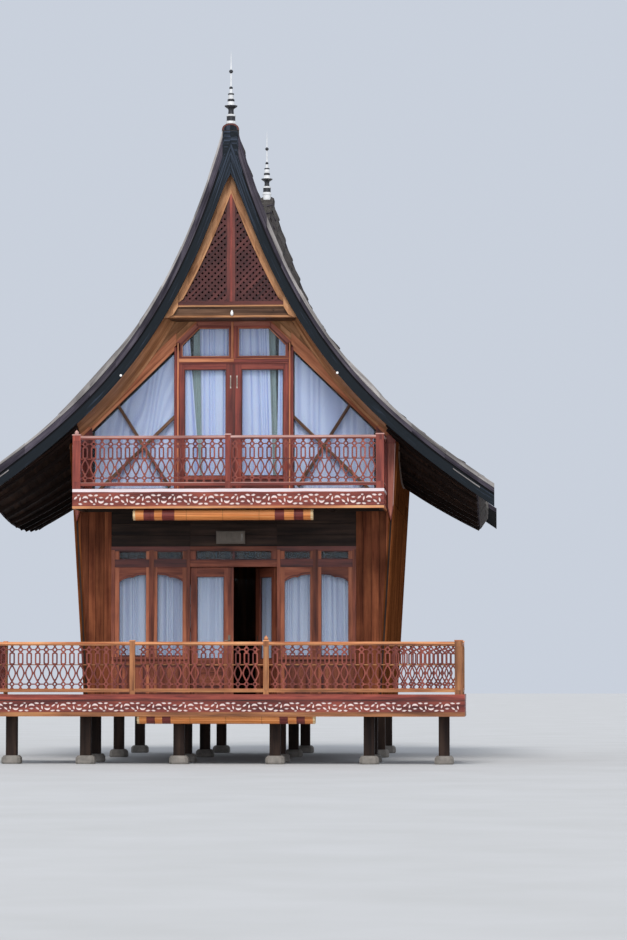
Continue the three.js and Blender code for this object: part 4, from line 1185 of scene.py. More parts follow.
# %% [markdown]
# ## The glazed gable
# The gable over the balcony is glass from floor to roof. In the middle a red frame holds two
# tall doors and two lights with a cut corner. At each side the glazing ends in a sloping line
# under golden boards, and a pair of crossed braces passes behind the frame. Frames are drawn as
# mitred strips round their openings, so that every pane gets an even border with a bead.

# %% The middle frame and its doors
frame_half, frame_foot = 0.985, upper_foot
gable_back = -2.9003
stile, crossbar_low, crossbar_high, light_foot = 0.925, 6.78, 6.86, 6.875


def turned_on(outline):
    """The outline with its first corner moved to its end."""
    return outline[1:] + outline[:1]


def border(bench, outline, width, near, far, coat=0):
    """A frame of mitred boards inside a convex outline that runs round counterclockwise."""
    inner = []
    for (u0, z0), (u1, z1), (u2, z2) in zip(outline[-1:] + outline[:-1], outline, turned_on(outline)):
        d0 = Vector((u1 - u0, z1 - z0)).normalized()
        d1 = Vector((u2 - u1, z2 - z1)).normalized()
        n0, n1 = Vector((-d0.y, d0.x)), Vector((-d1.y, d1.x))
        push = (n0 + n1) / max(0.2, 1 + n0.dot(n1))
        inner.append((u1 + push.x * width, z1 + push.y * width))
    for a, b, c, d in zip(outline, turned_on(outline), turned_on(inner), inner):
        bench.plate([a, b, c, d], near, far, along=(b[0] - a[0], 0, b[1] - a[1]), coat=coat)
    return inner


gable = Bench()
for gable.seat in (as_drawn, mirrored):
    gable.board((stile, wall_front, frame_foot), (frame_half, gable_back, 7.15))
    gable.board((0.945, wall_front - 0.008, frame_foot), (0.968, wall_front + 0.002, 7.14), coat=1)
    # Coat 2, a lighter salmon red on the cut corners and on the head under the collar, is painted light on
    # boards in the collar's shadow.
    shoulder = [(frame_half, 7.15), (0.62, 7.509), (0.62, 7.42), (stile, 7.12), (stile, 7.0),
                (frame_half, 7.0)]
    gable.plate(shoulder, wall_front, gable_back, along=(-0.7, 0, 0.7), coat=2)
    for reach, proud, back, z0, z1, coat in (
            (stile, 0.0, gable_back, crossbar_low, crossbar_high, 0),
            (0.955, 0.012, gable_back, crossbar_high + 0.0005, light_foot, 1),
            (0.94, 0.012, wall_front + 0.001, 6.81, crossbar_high + 0.0005, int(gable.seat == mirrored)),
            (0.64, 0.0, gable_back, 7.43, 7.509, 2)):
        gable.board((0.0, wall_front - proud, z0), (reach, back, z1), along=sideways, coat=coat)
    gable.board((0.0, wall_front, crossbar_high), (0.045, gable_back, 7.43))
    light = [(0.045, light_foot), (stile, light_foot), (stile, 7.12), (0.615, 7.43), (0.045, 7.43)]
    inside = border(gable, light, 0.03, wall_front + 0.008, gable_back)
    border(gable, inside, 0.012, wall_front + 0.02, gable_back, coat=1)
gable.seat = as_drawn
gable.board((-0.046, wall_front - 0.008, 6.876), (-0.004, wall_front + 0.002, 7.5), coat=1)
gable.make("gable_frame_middle", [red_wood, copper_wood, salmon_red], "red_wood", ["gable_door_frame"])

near, far = wall_front + 0.015, wall_front + 0.06
pane_left, pane_right, pane_foot, pane_top, door_top = 0.13, 0.85, 4.86, 6.69, 6.7797
for side, seat in both_sides:
    tall = Bench(seat)
    for u0, u1 in ((0.0003, pane_left), (pane_right, 0.9247)):
        tall.board((u0, near, frame_foot), (u1, far, door_top))
    for z0, z1 in ((frame_foot, 4.66), (4.80, pane_foot), (pane_top, door_top)):
        tall.board((pane_left, near, z0), (pane_right, far, z1))
    tall.board((pane_left, near + 0.012, 4.66), (pane_right, far - 0.01, 4.80), coat=1)
    pane = oblong(pane_left, pane_right, pane_foot, pane_top)
    border(tall, pane, 0.014, near + 0.008, far - 0.008, coat=1)
    if side == "right":
        tall.board((-0.022, near - 0.012, frame_foot), (0.022, near + 0.001, 6.77), coat=1)
    tall.board((0.045, near - 0.004, 6.36), (0.065, near + 0.001, 6.58), coat=2)
    handle = ((0.0, 6.39), (0.03, 6.40), (0.034, 6.47), (0.03, 6.54), (0.0, 6.55))
    tall.rod([(0.055, near - out, z) for out, z in handle], 0.006, coat=2)
    tall.make("gable_door_" + side, [red_wood, dark_red_wood, handle_metal], "red_wood",
              ["upper_door_" + side])

# %% [markdown]
# ## Side glazing and its braces
# The side panes are bounded by a sloping line. The braces behind them form a cross whose lower
# half hides behind the railing. The sloping frame member has a thin dark edge along the glass,
# which is painted shadow.


# %% Side frames
glazing_near, glazing_far, glazing_top = 1.01, 2.43, 7.02
glazing_slope = (5.64 - glazing_top) / (glazing_far - glazing_near)
frame_side, sill = frame_half + 0.0003, 4.65


def glazing_line(u, offset=0.0):
    """Height of the sloping line, moved square to itself by an offset."""
    return glazing_top + glazing_slope * (u - glazing_near) + offset * math.hypot(1, glazing_slope)


def glazing_corner(offset):
    """Where the moved line meets the leaning side wall."""
    u = side_inner(glazing_line(0, offset)) / (1 - wall_lean * glazing_slope)
    return (u, glazing_line(u, offset))


def sloping(u0, u1, low, high):
    """The outline of a strip along the sloping line, between two offsets."""
    return [(u0, glazing_line(u0, low)), (u1, glazing_line(u1, low)),
            (u1, glazing_line(u1, high)), (u0, glazing_line(u0, high))]


def bar(start, end, width):
    """The outline of a straight bar along a line in u and z, and the way its grain runs."""
    run = Vector((end[0] - start[0], end[1] - start[1])).normalized() * width / 2
    outline = [(start[0] + run.y, start[1] - run.x), (end[0] + run.y, end[1] - run.x),
               (end[0] - run.y, end[1] + run.x), (start[0] - run.y, start[1] + run.x)]
    return outline, (run.x, 0, run.y)


def limited(outline, offset):
    """Trims an outline to the side frame: under the sloping line, over the foot, clear of the stiles."""
    long = math.hypot(1, glazing_slope)
    limit = (glazing_top - glazing_slope * glazing_near) / long + offset
    outline = clipped(outline, (-glazing_slope / long, 1 / long), limit)
    for normal, edge in (((-1, 0), -frame_half), ((1, 0), 2.6), ((0, -1), -frame_foot)):
        outline = clipped(outline, normal, edge)
    return outline


for side, seat in both_sides:
    lights = Bench(seat)
    near, along = wall_front, (1, 0, glazing_slope)
    lights.board((frame_side, near + 0.004, frame_foot), (1.02, gable_back, glazing_line(1.02, 0.045)))
    foot = [(frame_side, frame_foot), (side_inner(frame_foot), frame_foot), (side_inner(sill), sill),
            (frame_side, sill)]
    lights.plate(foot, near + 0.002, gable_back, along=sideways)
    outer = [(glazing_far, sill), (side_inner(sill), sill), glazing_corner(0.045),
             (glazing_far, glazing_line(glazing_far, 0.045))]
    lights.plate(outer, near + 0.003, gable_back)
    lights.plate(sloping(1.02, glazing_far, 0.0, 0.045), near, gable_back, along=along, coat=1)
    # The thin dark strip along the glass is painted shadow under the sloping member.
    lights.plate(sloping(1.02, glazing_far, -0.012, 0.0), near + 0.02, gable_back, along=along, coat=2)
    for start, end, depth in (((0.885, 6.006), (2.6, 4.345), 0.012), ((1.098, 4.673), (2.066, 6.201), 0.016)):
        brace, along = bar(start, end, 0.052)
        lights.plate(limited(brace, 0.02), near + depth, near + 0.066, along=along, coat=3)
    lights.make("gable_lights_" + side, [red_wood, copper_wood, dark_timber, umber_wood], "red_wood",
                ["gable_side_frame_" + side])

# %% [markdown]
# ## Golden boards and drop boards
# Between the glazing and the roof the gable is closed with broad golden planks that run with
# the glazing line, and a brighter edge board covers their lower ends. The roof above is curved,
# so each plank is clipped against a chain of short straight lines under it. A long board with
# a pointed foot hangs beside each corner.

# %% Golden gable boards
under_gap = 0.006


def under_roof(outline, y):
    """Trims an outline to the space under the roof at a depth. The outline is narrow."""
    low, high = extent(outline)
    z0, z1 = underside(low, y) - under_gap, underside(high, y) - under_gap
    run = Vector((high - low, z1 - z0)).normalized()
    return clipped(outline, (-run.y, run.x), -run.y * low + run.x * z0)


def sliced(outline, width):
    """Cuts an outline into narrow upright slices, so that each can meet a curve."""
    low, high = extent(outline)
    cuts = evenly(low, high, max(1, math.ceil((high - low) / width)))
    for a, b in zip(cuts, cuts[1:]):
        part = clipped(clipped(outline, (1, 0), b), (-1, 0), -a)
        if len(part) > 2:
            yield part


def curved_planks(bench, outline, near, far, width, angle, y, coat, gap=0.005):
    """Planks at an angle whose upper edge follows the roof."""
    for plank, run, across in planks(outline, width, gap, angle):
        tone = chance.random()
        if len(plank) < 3:
            continue
        for part in sliced(plank, 0.18):
            part = under_roof(part, y)
            grain = [(u * across[0] + z * across[1] + tone * 7, u * run[0] + z * run[1], d)
                     for d in (near, far) for u, z in part]
            bench.plate(part, near, far, coat=coat, tone=tone, grain=grain)


glazing_angle = math.degrees(math.atan(glazing_slope))
cover, edge_width, frame_head = 0.0453, 0.15, 7.509
roof_line = wall_front + 0.02
drop_face = wall_front - 0.045
for side, seat in both_sides:
    boards = Bench(seat)
    corner = glazing_corner(cover)
    start = (frame_side, glazing_line(frame_side, cover))
    field = [(0.621, frame_head), (frame_side, 7.151), start, corner, (side_inner(frame_head), frame_head)]
    for near, far, width, coat, gap in ((0.012, wall_front + 0.05, 0.145, 0, 0.005),
                                        (0.051, gable_back, 0.3, 2, 0.0)):
        curved_planks(boards, field, wall_front + near, far, width, glazing_angle, roof_line, coat, gap)
    end = corner[0] + 0.004
    edge_board = [start, corner, (end, glazing_line(end, cover + edge_width)),
                  (frame_side, glazing_line(frame_side, cover + edge_width))]
    boards.plate(clipped(edge_board, (1, 0), corner[0] - 0.001), wall_front - 0.006, wall_front + 0.013,
                 along=(1, 0, glazing_slope), coat=1)
    trim, along = bar((0.64, 7.50), (frame_side - 0.003, 7.168), 0.028)
    boards.plate(trim, wall_front - 0.004, wall_front + 0.03, along=along, coat=1)
    boards.make("golden_boards_" + side, [golden_wood, copper_wood, dark_timber], "golden_wood",
                ["gable_board_" + side], edge=0.002)

    drop = Bench(seat)
    outline = [(2.618, 4.30), (2.682, 4.08), (2.724, 4.30), (2.764, 5.5), (2.618, 5.56)]
    # The raised panel's lighter salmon red and the pale lit edge are painted light on a board that stands
    # partly in shadow.
    raised = [(2.635, 4.31), (2.682, 4.14), (2.71, 4.31), (2.742, 5.4), (2.635, 5.4)]
    lit_edge = [(2.712, 4.33), (2.726, 4.36), (2.764, 5.4), (2.746, 5.4)]
    drop.plate(under_roof(outline, -3.0), drop_face, wall_front - 0.0003)
    drop.plate(raised, drop_face - 0.008, drop_face + 0.001, coat=1)
    drop.plate(lit_edge, drop_face - 0.011, drop_face + 0.001, coat=2)
    drop.make("pointed_board_" + side, [red_wood, salmon_red, salmon_wood], "red_wood",
              ["gable_drop_board_" + side])

# %% [markdown]
# ## Collar beam
# A moulded brown beam with golden lips crosses the gable. A dark red rail on it carries the
# lattice, and a few dark knots sit in its face. A white lamp hangs at the middle.

# %% Collar beam and lamp
collar = Bench()
collar_low, collar_high, collar_half = 7.51, 7.77, 1.3
collar_face, collar_back = -3.578, -3.48
dark_tone, golden_tone = 0.1, 0.35


def reach_under_roof(z, y):
    """How far from the middle a level board can reach, up to the collar's half length."""
    x = collar_half
    while x > 0.05 and underside(x, y) < z + 0.004:
        x -= 0.004
    return x


for z0, z1, proud, coat in ((collar_low, 7.545, 0.012, 1), (7.545, 7.58, 0.0, 0), (7.58, 7.665, -0.012, 0),
                            (7.665, 7.69, 0.0, 0), (7.69, 7.718, 0.022, 1), (7.718, collar_high, 0.0, 5)):
    reach = reach_under_roof(z1, -3.6)
    tone = golden_tone if coat else dark_tone
    collar.board((-reach, collar_face - proud, z0), (reach, collar_back, z1), coat=coat, tone=tone)
reach = reach_under_roof(7.54, -3.2)
for i in range(4):
    y0 = collar_back - 0.005 + i * 0.145
    collar.board((-reach, y0, collar_low), (reach, min(y0 + 0.141, -2.9), 7.54), tone=dark_tone)
for x, z in ((0.72, 7.63), (-0.55, 7.655), (0.21, 7.67)):
    collar.turned([(0.012, 0.0), (0.016, 0.008), (0.01, 0.014)], (x, -3.57, z), 8, coat=3)
bulb = [(0.009, -0.03), (0.022, -0.02), (0.028, 0.0), (0.026, 0.02), (0.018, 0.04), (0.012, 0.06)]
collar.turned(bulb, (0.02, -3.612, 7.565), 14, coat=4)
collar.board((0.005, -3.62, 7.62), (0.035, -3.575, 7.64), coat=3)
coats = [umber_wood, golden_wood, dark_timber, hinge_metal, lamp_white, dark_red_wood]
collar.make("collar_beam_boards", coats, "golden_wood", ["collar_beam"], edge=0.004)

# %% [markdown]
# ## Lattice in the gable
# The tall triangle is filled with a maroon diamond lattice, a middle post and a golden border.
# The lattice's dark maroon is partly the wood's colour and partly painted shade under the roof.
# The two sets of bars are halved into each other, so one stands only 2 mm in front of the other.
# Bars are clipped to the triangle before they are laid, so none sticks out. The sides of the
# border follow the barge boards' curve, so it is made of short mitred lengths. Its lowest
# lengths stand further forward and pass over the ends of the collar beam.

# %% Lattice, middle post and border
vent = Bench()
vent_half, vent_apex, vent_base = 0.87, 9.64, 7.80
lattice_pitch, lattice_bar = 0.108, 0.045
on_collar = collar_high + 0.0003
vent_face, cover_face = -3.56, -3.62


def in_triangle(outline, half=vent_half, apex=vent_apex, base=vent_base, lap=0.02):
    """Trims an outline to a triangle made larger by a lap."""
    lean = math.hypot(apex - base, half)
    for way in (-1, 1):
        normal = (way * (apex - base) / lean, half / lean)
        outline = clipped(outline, normal, normal[1] * apex + lap)
    return clipped(outline, (0, -1), lap - base)


def lattice_bars(bench, near, **triangle):
    """Two crossed sets of diagonal bars, trimmed to a triangle."""
    for depth, way in ((near, 1), (near + 0.002, -1)):
        for i in range(-27, 28):
            middle = i * lattice_pitch
            outline, along = bar((middle - 3 * way, 5.7), (middle + 3 * way, 11.7), lattice_bar)
            bench.plate(in_triangle(outline, **triangle), depth, depth + 0.024, along=along)


def vent_edge(u):
    """Height of the opening's curved edge at a distance from the middle."""
    return 9.63 - 2.65 * u + 0.535 * u * u


def border_part(u0, u1, y, foot):
    """A short length of the border, from the opening's edge or a foot line up to the roof."""
    return [(u0, max(vent_edge(u0), foot)), (u1, max(vent_edge(u1), foot)),
            (u1, underside(u1, y) - 0.004), (u0, underside(u0, y) - 0.004)]


lattice_bars(vent, vent_face + 0.014)
vent.plate(in_triangle(oblong(-0.07, 0.07, 7.7, 9.9)), vent_face + 0.002, vent_face + 0.055, coat=1)
vent.plate(in_triangle(oblong(-0.022, 0.022, 7.7, 9.9)), vent_face - 0.006, vent_face + 0.003, coat=2)
foot_rail = [(-0.9, on_collar), (0.9, on_collar), (0.89, 7.79), (-0.89, 7.79)]
vent.plate(foot_rail, vent_face + 0.004, vent_face + 0.05, along=sideways, coat=1)
places = evenly(0, collar_half, 16)
for vent.seat in (mirrored, as_drawn):
    for u0, u1 in zip(places, places[1:]):
        part = border_part(u0, u1, vent_face, on_collar)
        if part[2][1] - part[1][1] < 0.004:
            break
        grain = [(u * 0.9 + z * 0.42, u * 0.42 - z * 0.9, d) for d in (0, 0.06) for u, z in part]
        tone = 0.1 + 0.5 * min(1.0, u0 / 0.6)
        vent.plate(part, vent_face, vent_face + 0.06, coat=3, tone=tone, grain=grain)
        if u1 < vent_half:
            edge0, edge1 = vent_edge(u0), vent_edge(u1)
            bead = [(u0, edge0), (u1, edge1), (u1, edge1 + 0.06), (u0, edge0 + 0.06)]
            run = (u1 - u0, 0, edge1 - edge0)
            vent.plate(bead, vent_face - 0.012, vent_face + 0.001, along=run, coat=3)
    for u0, u1 in zip(places, places[1:]):
        part = border_part(u0, u1, cover_face, collar_low)
        if part[0][1] < 7.79 and part[2][1] - part[1][1] > 0.004:
            vent.plate(part, cover_face - 0.005, cover_face + 0.0205, along=(0.6, 0, -0.8), coat=3,
                       tone=golden_tone)
coats = [lattice_wood, dark_red_wood, red_wood, golden_wood]
vent.make("gable_lattice", coats, "golden_wood", ["gable_vent"], edge=0)

# %% [markdown]
# ## Thatch
# The roof is thatched with black palm fibre, laid in courses from the eaves up. A smooth slab
# with a bump map would look like plastic at its edges, so the courses are real steps: each one
# swells towards its butt and then drops raggedly to the next. The columns are 3 cm wide, about
# the width of a bundle of fibre. The shader adds single fibres, lichen and moss.

# %% Thatch finish and courses
fibre = Finish("palm_fibre_thatch", 0.92)
fibre_grain = fibre.marked("grain")
hairs = fibre.noise(fibre.scaled(fibre_grain, (170.0, 9.0, 60.0)), 1.0, 5.0, 0.7)
tufts = fibre.noise(fibre.scaled(fibre_grain, (24.0, 3.2, 24.0)), 1.0, 3.0)
fibre_colour = fibre.ramp(fibre.mix(0.45, hairs, tufts), (0.34, srgb(24, 21, 20)), (0.5, srgb(50, 45, 42)),
                          (0.68, srgb(88, 80, 74)))
lichen = fibre.noise(fibre.place(), 1.1, 6.0, 0.7)
fibre_colour = fibre.mix(fibre.grey(lichen, 0.52, 0.72, 0.0, 0.5), fibre_colour, srgb(112, 108, 100))
moss = fibre.noise(fibre.scaled(fibre.place(), (1.0, 0.8, 1.4)), 0.9, 5.0, 0.7)
fibre_colour = fibre.mix(fibre.grey(moss, 0.55, 0.75, 0.0, 0.4), fibre_colour, srgb(66, 72, 44))
thatch = fibre.finish(fibre_colour, None, hairs, 0.006, 0.9)

slope_steps = evenly(0.02, eave_half, 400)
slope_run = [0.0]
for x0, x1 in zip(slope_steps, slope_steps[1:]):
    slope_run.append(slope_run[-1] + math.hypot(x1 - x0, profile(x1) - profile(x0)))
slope_length = slope_run[-1]


def down_slope(distance):
    """How far from the middle a point is, given its distance down the slope from the ridge."""
    distance = min(max(distance, 0.0), slope_length - 1e-6)
    i = bisect_right(slope_run, distance)
    share = (distance - slope_run[i - 1]) / (slope_run[i] - slope_run[i - 1])
    return slope_steps[i - 1] + share * (slope_steps[i] - slope_steps[i - 1])


def on_roof(distance, y, lift):
    """A point on the right slope, lifted square to it."""
    x = down_slope(distance)
    tilt = slope(x)
    length = math.hypot(1, tilt)
    z = profile(x) - sag(x, y) + lift / length
    return (max(x - lift * tilt / length, 0.004), y, min(z, ridge_top(y) - 0.03 + lift))


course = 0.415
courses = math.ceil(slope_length / course)
columns = 272
tear, bundle_swell, unevenness = 0.028, 0.006, 0.004
under_depth, under_rows = 0.145, 14
course_steps = ((0.02, -0.012), (0.3, 0.008), (0.62, 0.026), (0.9, 0.04), (0.985, 0.036))


def thatched_side(name, seat, node):
    """One slope: rows of points down its courses and back up its underside, joined all round."""
    bundle = [chance.uniform(-1, 1) for _ in range(columns + 1)]
    side_y = evenly(slab_front + 0.004, slab_rear - 0.004, columns)
    points, grain, tones = [], [], []
    for number in range(courses):
        ragged = [chance.uniform(-1, 1) for _ in range(columns + 1)]
        lump = [0.5 * (ragged[i] + ragged[max(i - 1, 0)]) for i in range(columns + 1)]
        start = slope_length - (courses - number) * course
        for share, lift in course_steps:
            if start + share * course < 0.0:
                continue
            for i, y in enumerate(side_y):
                torn = tear * lump[i] * (share > 0.8)
                distance = start + share * course + torn
                swell = bundle_swell * bundle[(i * 7 + number * 13) % columns] * share
                rise = lift + swell + unevenness * ragged[i]
                points.append(on_roof(distance, y, rise))
                grain.append((y, distance, rise * 3))
                tones.append(0.5 + 0.5 * bundle[i])
    for row, distance in enumerate(evenly(slope_length, 0, under_rows)):
        for i, y in enumerate(side_y):
            lift = -under_depth if row else 0.015 - under_depth + 0.01 * bundle[i]
            points.append(on_roof(distance, y, lift))
            grain.append((y, distance, lift * 3))
            tones.append(0.5)
    wide = columns + 1
    rows = len(points) // wide
    faces = []
    for row in range(rows):
        here, ahead = row * wide, (row + 1) % rows * wide
        faces += [(here + i, here + i + 1, ahead + i + 1, ahead + i) for i in range(columns)]
    faces.append(tuple(row * wide for row in range(rows)))
    faces.append(tuple(row * wide + columns for row in reversed(range(rows))))
    cover = Bench(seat)
    cover.solid(points, faces, grain=grain, tone=tones)
    cover.make(name, [thatch], "roof_cover", [node], edge=0)


thatched_side("thatch_right", as_drawn, "roof_right")
thatched_side("thatch_left", mirrored, "roof_left")
print(courses, "courses on a slope", round(slope_length, 2), "metres long")

# %% [markdown]
# ## Under the thatch
# From the balcony and from below, the roof shows brown boards that run along the house, and
# rafters that run down the slope. Both are long strips of sections, because the roof curves in
# two directions. In front of the gable the underside is lined with golden planks instead. A
# board closes the eaves. A thin strip covers the joint with the wall.


# %% Sarking boards, rafters and eave boards
def along_house(bench, inner, outer, high_depth, low_depth, coat=0):
    """A board along the house between two distances down the slope, hung at two depths."""
    edges = oblong(inner, outer, high_depth, low_depth)
    bench.strip([[on_roof(place, y, -depth) for place, depth in edges]
                 for y in evenly(slab_front + 0.002, slab_rear - 0.002, 16)], coat=coat)


def down_the_slope(bench, x0, x1, y0, y1, high_depth, low_depth, coat, **how):
    """A board or rafter that runs down the slope between two distances from the middle."""
    first, last = [slope_run[bisect_left(slope_steps, x)] for x in (x0, x1)]
    edges = oblong(y0, y1, high_depth, low_depth)
    bench.strip([[on_roof(place, y, -depth) for y, depth in edges]
                 for place in evenly(first, last, 24)], coat=coat, **how)


rafter_half, sarking_width, lining_width = 0.025, 0.17, 0.153
rafter_places = [-3.42, -3.22, *evenly(-2.76, 3.24, 10), 3.7, 4.1, 4.4]
for side, seat in both_sides:
    boards = Bench(seat)
    start = 0.24
    while start < slope_length - 0.02:
        end = min(start + sarking_width, slope_length)
        along_house(boards, start + 0.002, end - 0.002, 0.15, 0.168)
        start = end
    along_house(boards, slope_length - 0.03, slope_length, 0.01, 0.178, 1)
    # The thin lighter strip along the eave board's lower edge is a painted highlight.
    along_house(boards, slope_length - 0.034, slope_length + 0.002, 0.178, 0.186, 3)
    for y in rafter_places:
        inner = 2.77 if y < wall_front else 0.17
        down_the_slope(boards, inner, eave_half - 0.02, y - rafter_half, y + rafter_half, 0.168, 0.235, 1)
    for i in range(4):
        y = slab_front + 0.012 + (lining_width + 0.002) * i
        down_the_slope(boards, 0.9, 2.75, y, y + lining_width, 0.1685, 0.1795, 2, tone=0.4 + 0.06 * i)
    down_the_slope(boards, 0.95, 2.6, wall_front - 0.028, wall_front - 0.007, 0.1797, 0.215, 2, tone=0.6)
    cornice = []
    for y in evenly(wall_front + 0.01, wall_rear - 0.01, 16):
        z = wall_top(y, 0.0)
        inner, outer = side_outer(z) - 0.002, side_outer(z) + 0.026
        cornice.append([(inner, y, z - 0.062), (outer, y, z - 0.062), (outer, y, z - 0.03),
                        (inner, y, z + 0.002)])
    boards.strip(cornice, coat=4)
    coats = [dark_timber, shade_wood, golden_wood, plum_timber, umber_wood]
    boards.make("roof_boards_" + side, coats, "roof_cover", ["roof_" + side], edge=0)

# %% [markdown]
# ## Ridge
# The ridge is closed with a roll of the same fibre, held down by crossed bamboo pins and
# lashings. The roll is a strip of arched sections that follows the sagging ridge line, with
# small random lumps. Its front end is closed by a painted board with a dark red rim.

# %% Ridge roll
def arch(half, height, foot, steps, power=0.8):
    """Points over an arch, from its right foot to its left."""
    return [(half * math.cos(t), foot + height * math.sin(t) ** power) for t in evenly(0, math.pi, steps)]


ridge = Bench()
roll_half, over_slab, over_barge = 0.145, 0.3, 0.115
sections = []
for y in evenly(roof_front + 0.002, roof_rear - 0.002, 96):
    depth = over_slab if slab_front <= y <= slab_rear else over_barge
    foot = ridge_top(y) - depth
    around = []
    for across, rise in arch(roll_half, depth, 0, 12):
        swell = 1 + 0.05 * chance.uniform(-1, 1)
        around.append((across * swell, y, foot + rise * min(swell, 1.0)))
    sections.append(around)
grain = [(p[0] * 4, i * 0.087, p[2] * 4) for i, section in enumerate(sections) for p in section]
ridge.strip(sections, grain=grain)
for y in evenly(-3.2, 4.2, 19):
    top = ridge_top(y)
    for way in (-1, 1):
        pin = [(-0.21 * way, y + 0.02 * way, top - 0.30), (0.0, y, top - 0.012),
               (0.15 * way, y - 0.015 * way, top + 0.02)]
        ridge.rod(pin, 0.011, 6, coat=1)
    ridge.rod([(x, y + 0.05, z) for x, z in arch(0.15, 0.185, top - 0.18, 8, 1)], 0.007, 5, coat=2)
arch_foot = apex_height - over_barge
outer, inner = arch(0.146, 0.117, arch_foot, 16), arch(0.118, 0.09, arch_foot, 16)
rim = [[(x, y, z) for (x, z), y in ((a, -3.706), (a, -3.66), (b, -3.66), (b, -3.706))]
       for a, b in zip(outer, inner)]
ridge.strip(rim, coat=3)
ridge.plate(arch(0.119, 0.091, arch_foot, 16), -3.7035, -3.69, coat=4, tone=1.0)
ridge.make("ridge_roll", [thatch, plum_timber, dark_timber, dark_red_wood, barge_paint], "roof_cover",
           ["ridge_cap"], edge=0)

# %% [markdown]
# ## Barge boards
# The deep boards at the ends of the roof are its strongest line. Each is built in bands that
# follow the curve: a weathered grey timber on the outside, a recess whose near-black coat is
# painted shadow, and a blue-black band, with a thin raised grey strip near the eave. The grey
# timber is laid in lapped lengths, as the real one is, because no single board could follow the
# curve. It bulges a little half way down, more at the left than at the right. The blue-black
# paint has faded most near the peak.


# %% Barge boards
def barge_depth(x):
    return 0.25 + 0.015 * x + 0.045 * math.exp(-x / 0.1)


def left_rise(x):
    """How far the grey timber stands above the gable's outline at the left of the front."""
    return 0.022 + 0.055 * math.exp(-((x - 2.25) / 0.6) ** 2)


def right_rise(x):
    return 0.003 + 0.03 * math.exp(-((x - 2.35) / 0.25) ** 2)


barge_seat = ridge_top(roof_front + 0.08) - 0.07


def barge_band(bench, near, far, upper, lower, x0=0.0003, x1=barge_half, coat=0, steps=34, rise=None,
               notch=0.0):
    """A band along the barge board between two shares of its depth. Rise and notch lift its upper edge."""
    sections, grain, faded = [], [], []
    run = 0.0
    last = None
    for i in range(steps + 1):
        x = x0 + (x1 - x0) * (i / steps) ** 1.3
        faded += [0.1 + 0.9 * math.exp(-(x / 0.5) ** 2)] * 4
        lift = (rise(x) + notch) * math.hypot(1, slope(x)) if rise else 0.0
        high = min(below(x, upper * barge_depth(x)) + lift, barge_seat - 0.001)
        low = min(below(x, lower * barge_depth(x)), barge_seat - 0.003)
        if last:
            run += math.hypot(x - last[0], high - last[1])
        last = (x, high)
        sections.append([(x, near, high), (x, far, high), (x, far, low), (x, near, low)])
        grain += [(0.0, run, 0.0), (0.05, run, 0.05), (high - low, run, 0.05), (high - low, run, 0.0)]
    bench.strip(sections, coat=coat, grain=grain, tone=None if coat else faded)


def barge(end, side, proud, pale_share, pale, rise, pale_from=0.0):
    """One barge board. Its face stands at depth 0 and its back at 0.08."""
    way = -1 if side == "left" else 1
    face, inward = (roof_front, 1) if end == "front" else (roof_rear, -1)
    bench = Bench(lambda x, depth, z: (way * x, face + inward * depth, z))
    # Coat 1, the near-black recess, is painted shadow in the gaps between the bands.
    barge_band(bench, 0.012, 0.08, 0.16, 0.98, coat=1)
    barge_band(bench, 0.0, 0.03, 0.50, 1.0)
    barge_band(bench, 0.006, 0.03, 0.0, 0.52, x1=0.2, steps=8)
    barge_band(bench, 0.018, 0.05, 0.38, 0.52, coat=1)
    barge_band(bench, -0.012 * proud, 0.03, 0.55, 0.61, 3.75, 4.2, coat=2)
    x = 0.135
    while x < barge_half - 0.02:
        tilt = math.hypot(1, slope(x))
        end_x = min(x + chance.uniform(0.7, 0.82) / tilt, barge_half)
        if barge_half - end_x < 0.12:
            end_x = barge_half
        push = chance.uniform(0.0, 0.012)
        notch = chance.uniform(-0.008, 0.012)
        coat = 3 if x >= pale_from else 4
        barge_band(bench, -(0.028 - push) * proud, 0.09, 0.0, pale_share, x, min(end_x + 0.03, barge_half),
                   coat, 10, rise, notch)
        barge_band(bench, -(0.018 - push) * proud, 0.05, pale_share, 0.4, x, min(end_x + 0.015, barge_half),
                   4, 8)
        x = end_x
    bench.make(f"barge_boards_{end}_{side}", [barge_paint, barge_recess, grey_timber, pale, plum_timber],
               "barge_paint", [f"barge_{end}_{side}"])


for side, share, rise, pale_from in (("left", 0.06, left_rise, 0.0), ("right", 0.18, right_rise, 0.4)):
    barge("front", side, 1.0, share, grey_timber, rise, pale_from)
    barge("rear", side, 0.6, 0.2, plum_timber, right_rise)

# %% [markdown]
# ## Finials
# A turned finial in sheet metal stands on each peak: white and dark drums, a flared disc, rings
# and a long needle. Each step of the profile is turned by itself, so it can have its own coat.

# %% Finials
finial_profile = [
    (0.075, -0.1), (0.078, 0.0), (0.086, 0.004), (0.086, 0.04), (0.074, 0.05), (0.074, 0.13), (0.08, 0.135),
    (0.08, 0.155), (0.05, 0.17), (0.045, 0.235), (0.052, 0.262), (0.108, 0.3), (0.11, 0.314), (0.062, 0.33),
    (0.056, 0.385), (0.06, 0.4), (0.06, 0.42), (0.048, 0.43), (0.045, 0.5), (0.052, 0.505), (0.052, 0.522),
    (0.03, 0.53), (0.024, 0.6), (0.03, 0.615), (0.03, 0.63), (0.014, 0.645), (0.01, 0.86), (0.014, 0.87),
    (0.034, 0.892), (0.034, 0.915), (0.012, 0.935), (0.007, 1.1), (0.002, 1.248)]
white_steps = (0, 1, 2, 3, 5, 6, 7, 12, 13, 17, 21, 25, 26, 30, 31)
finial_coats = [0 if step in white_steps else 1 for step in range(len(finial_profile) - 1)]
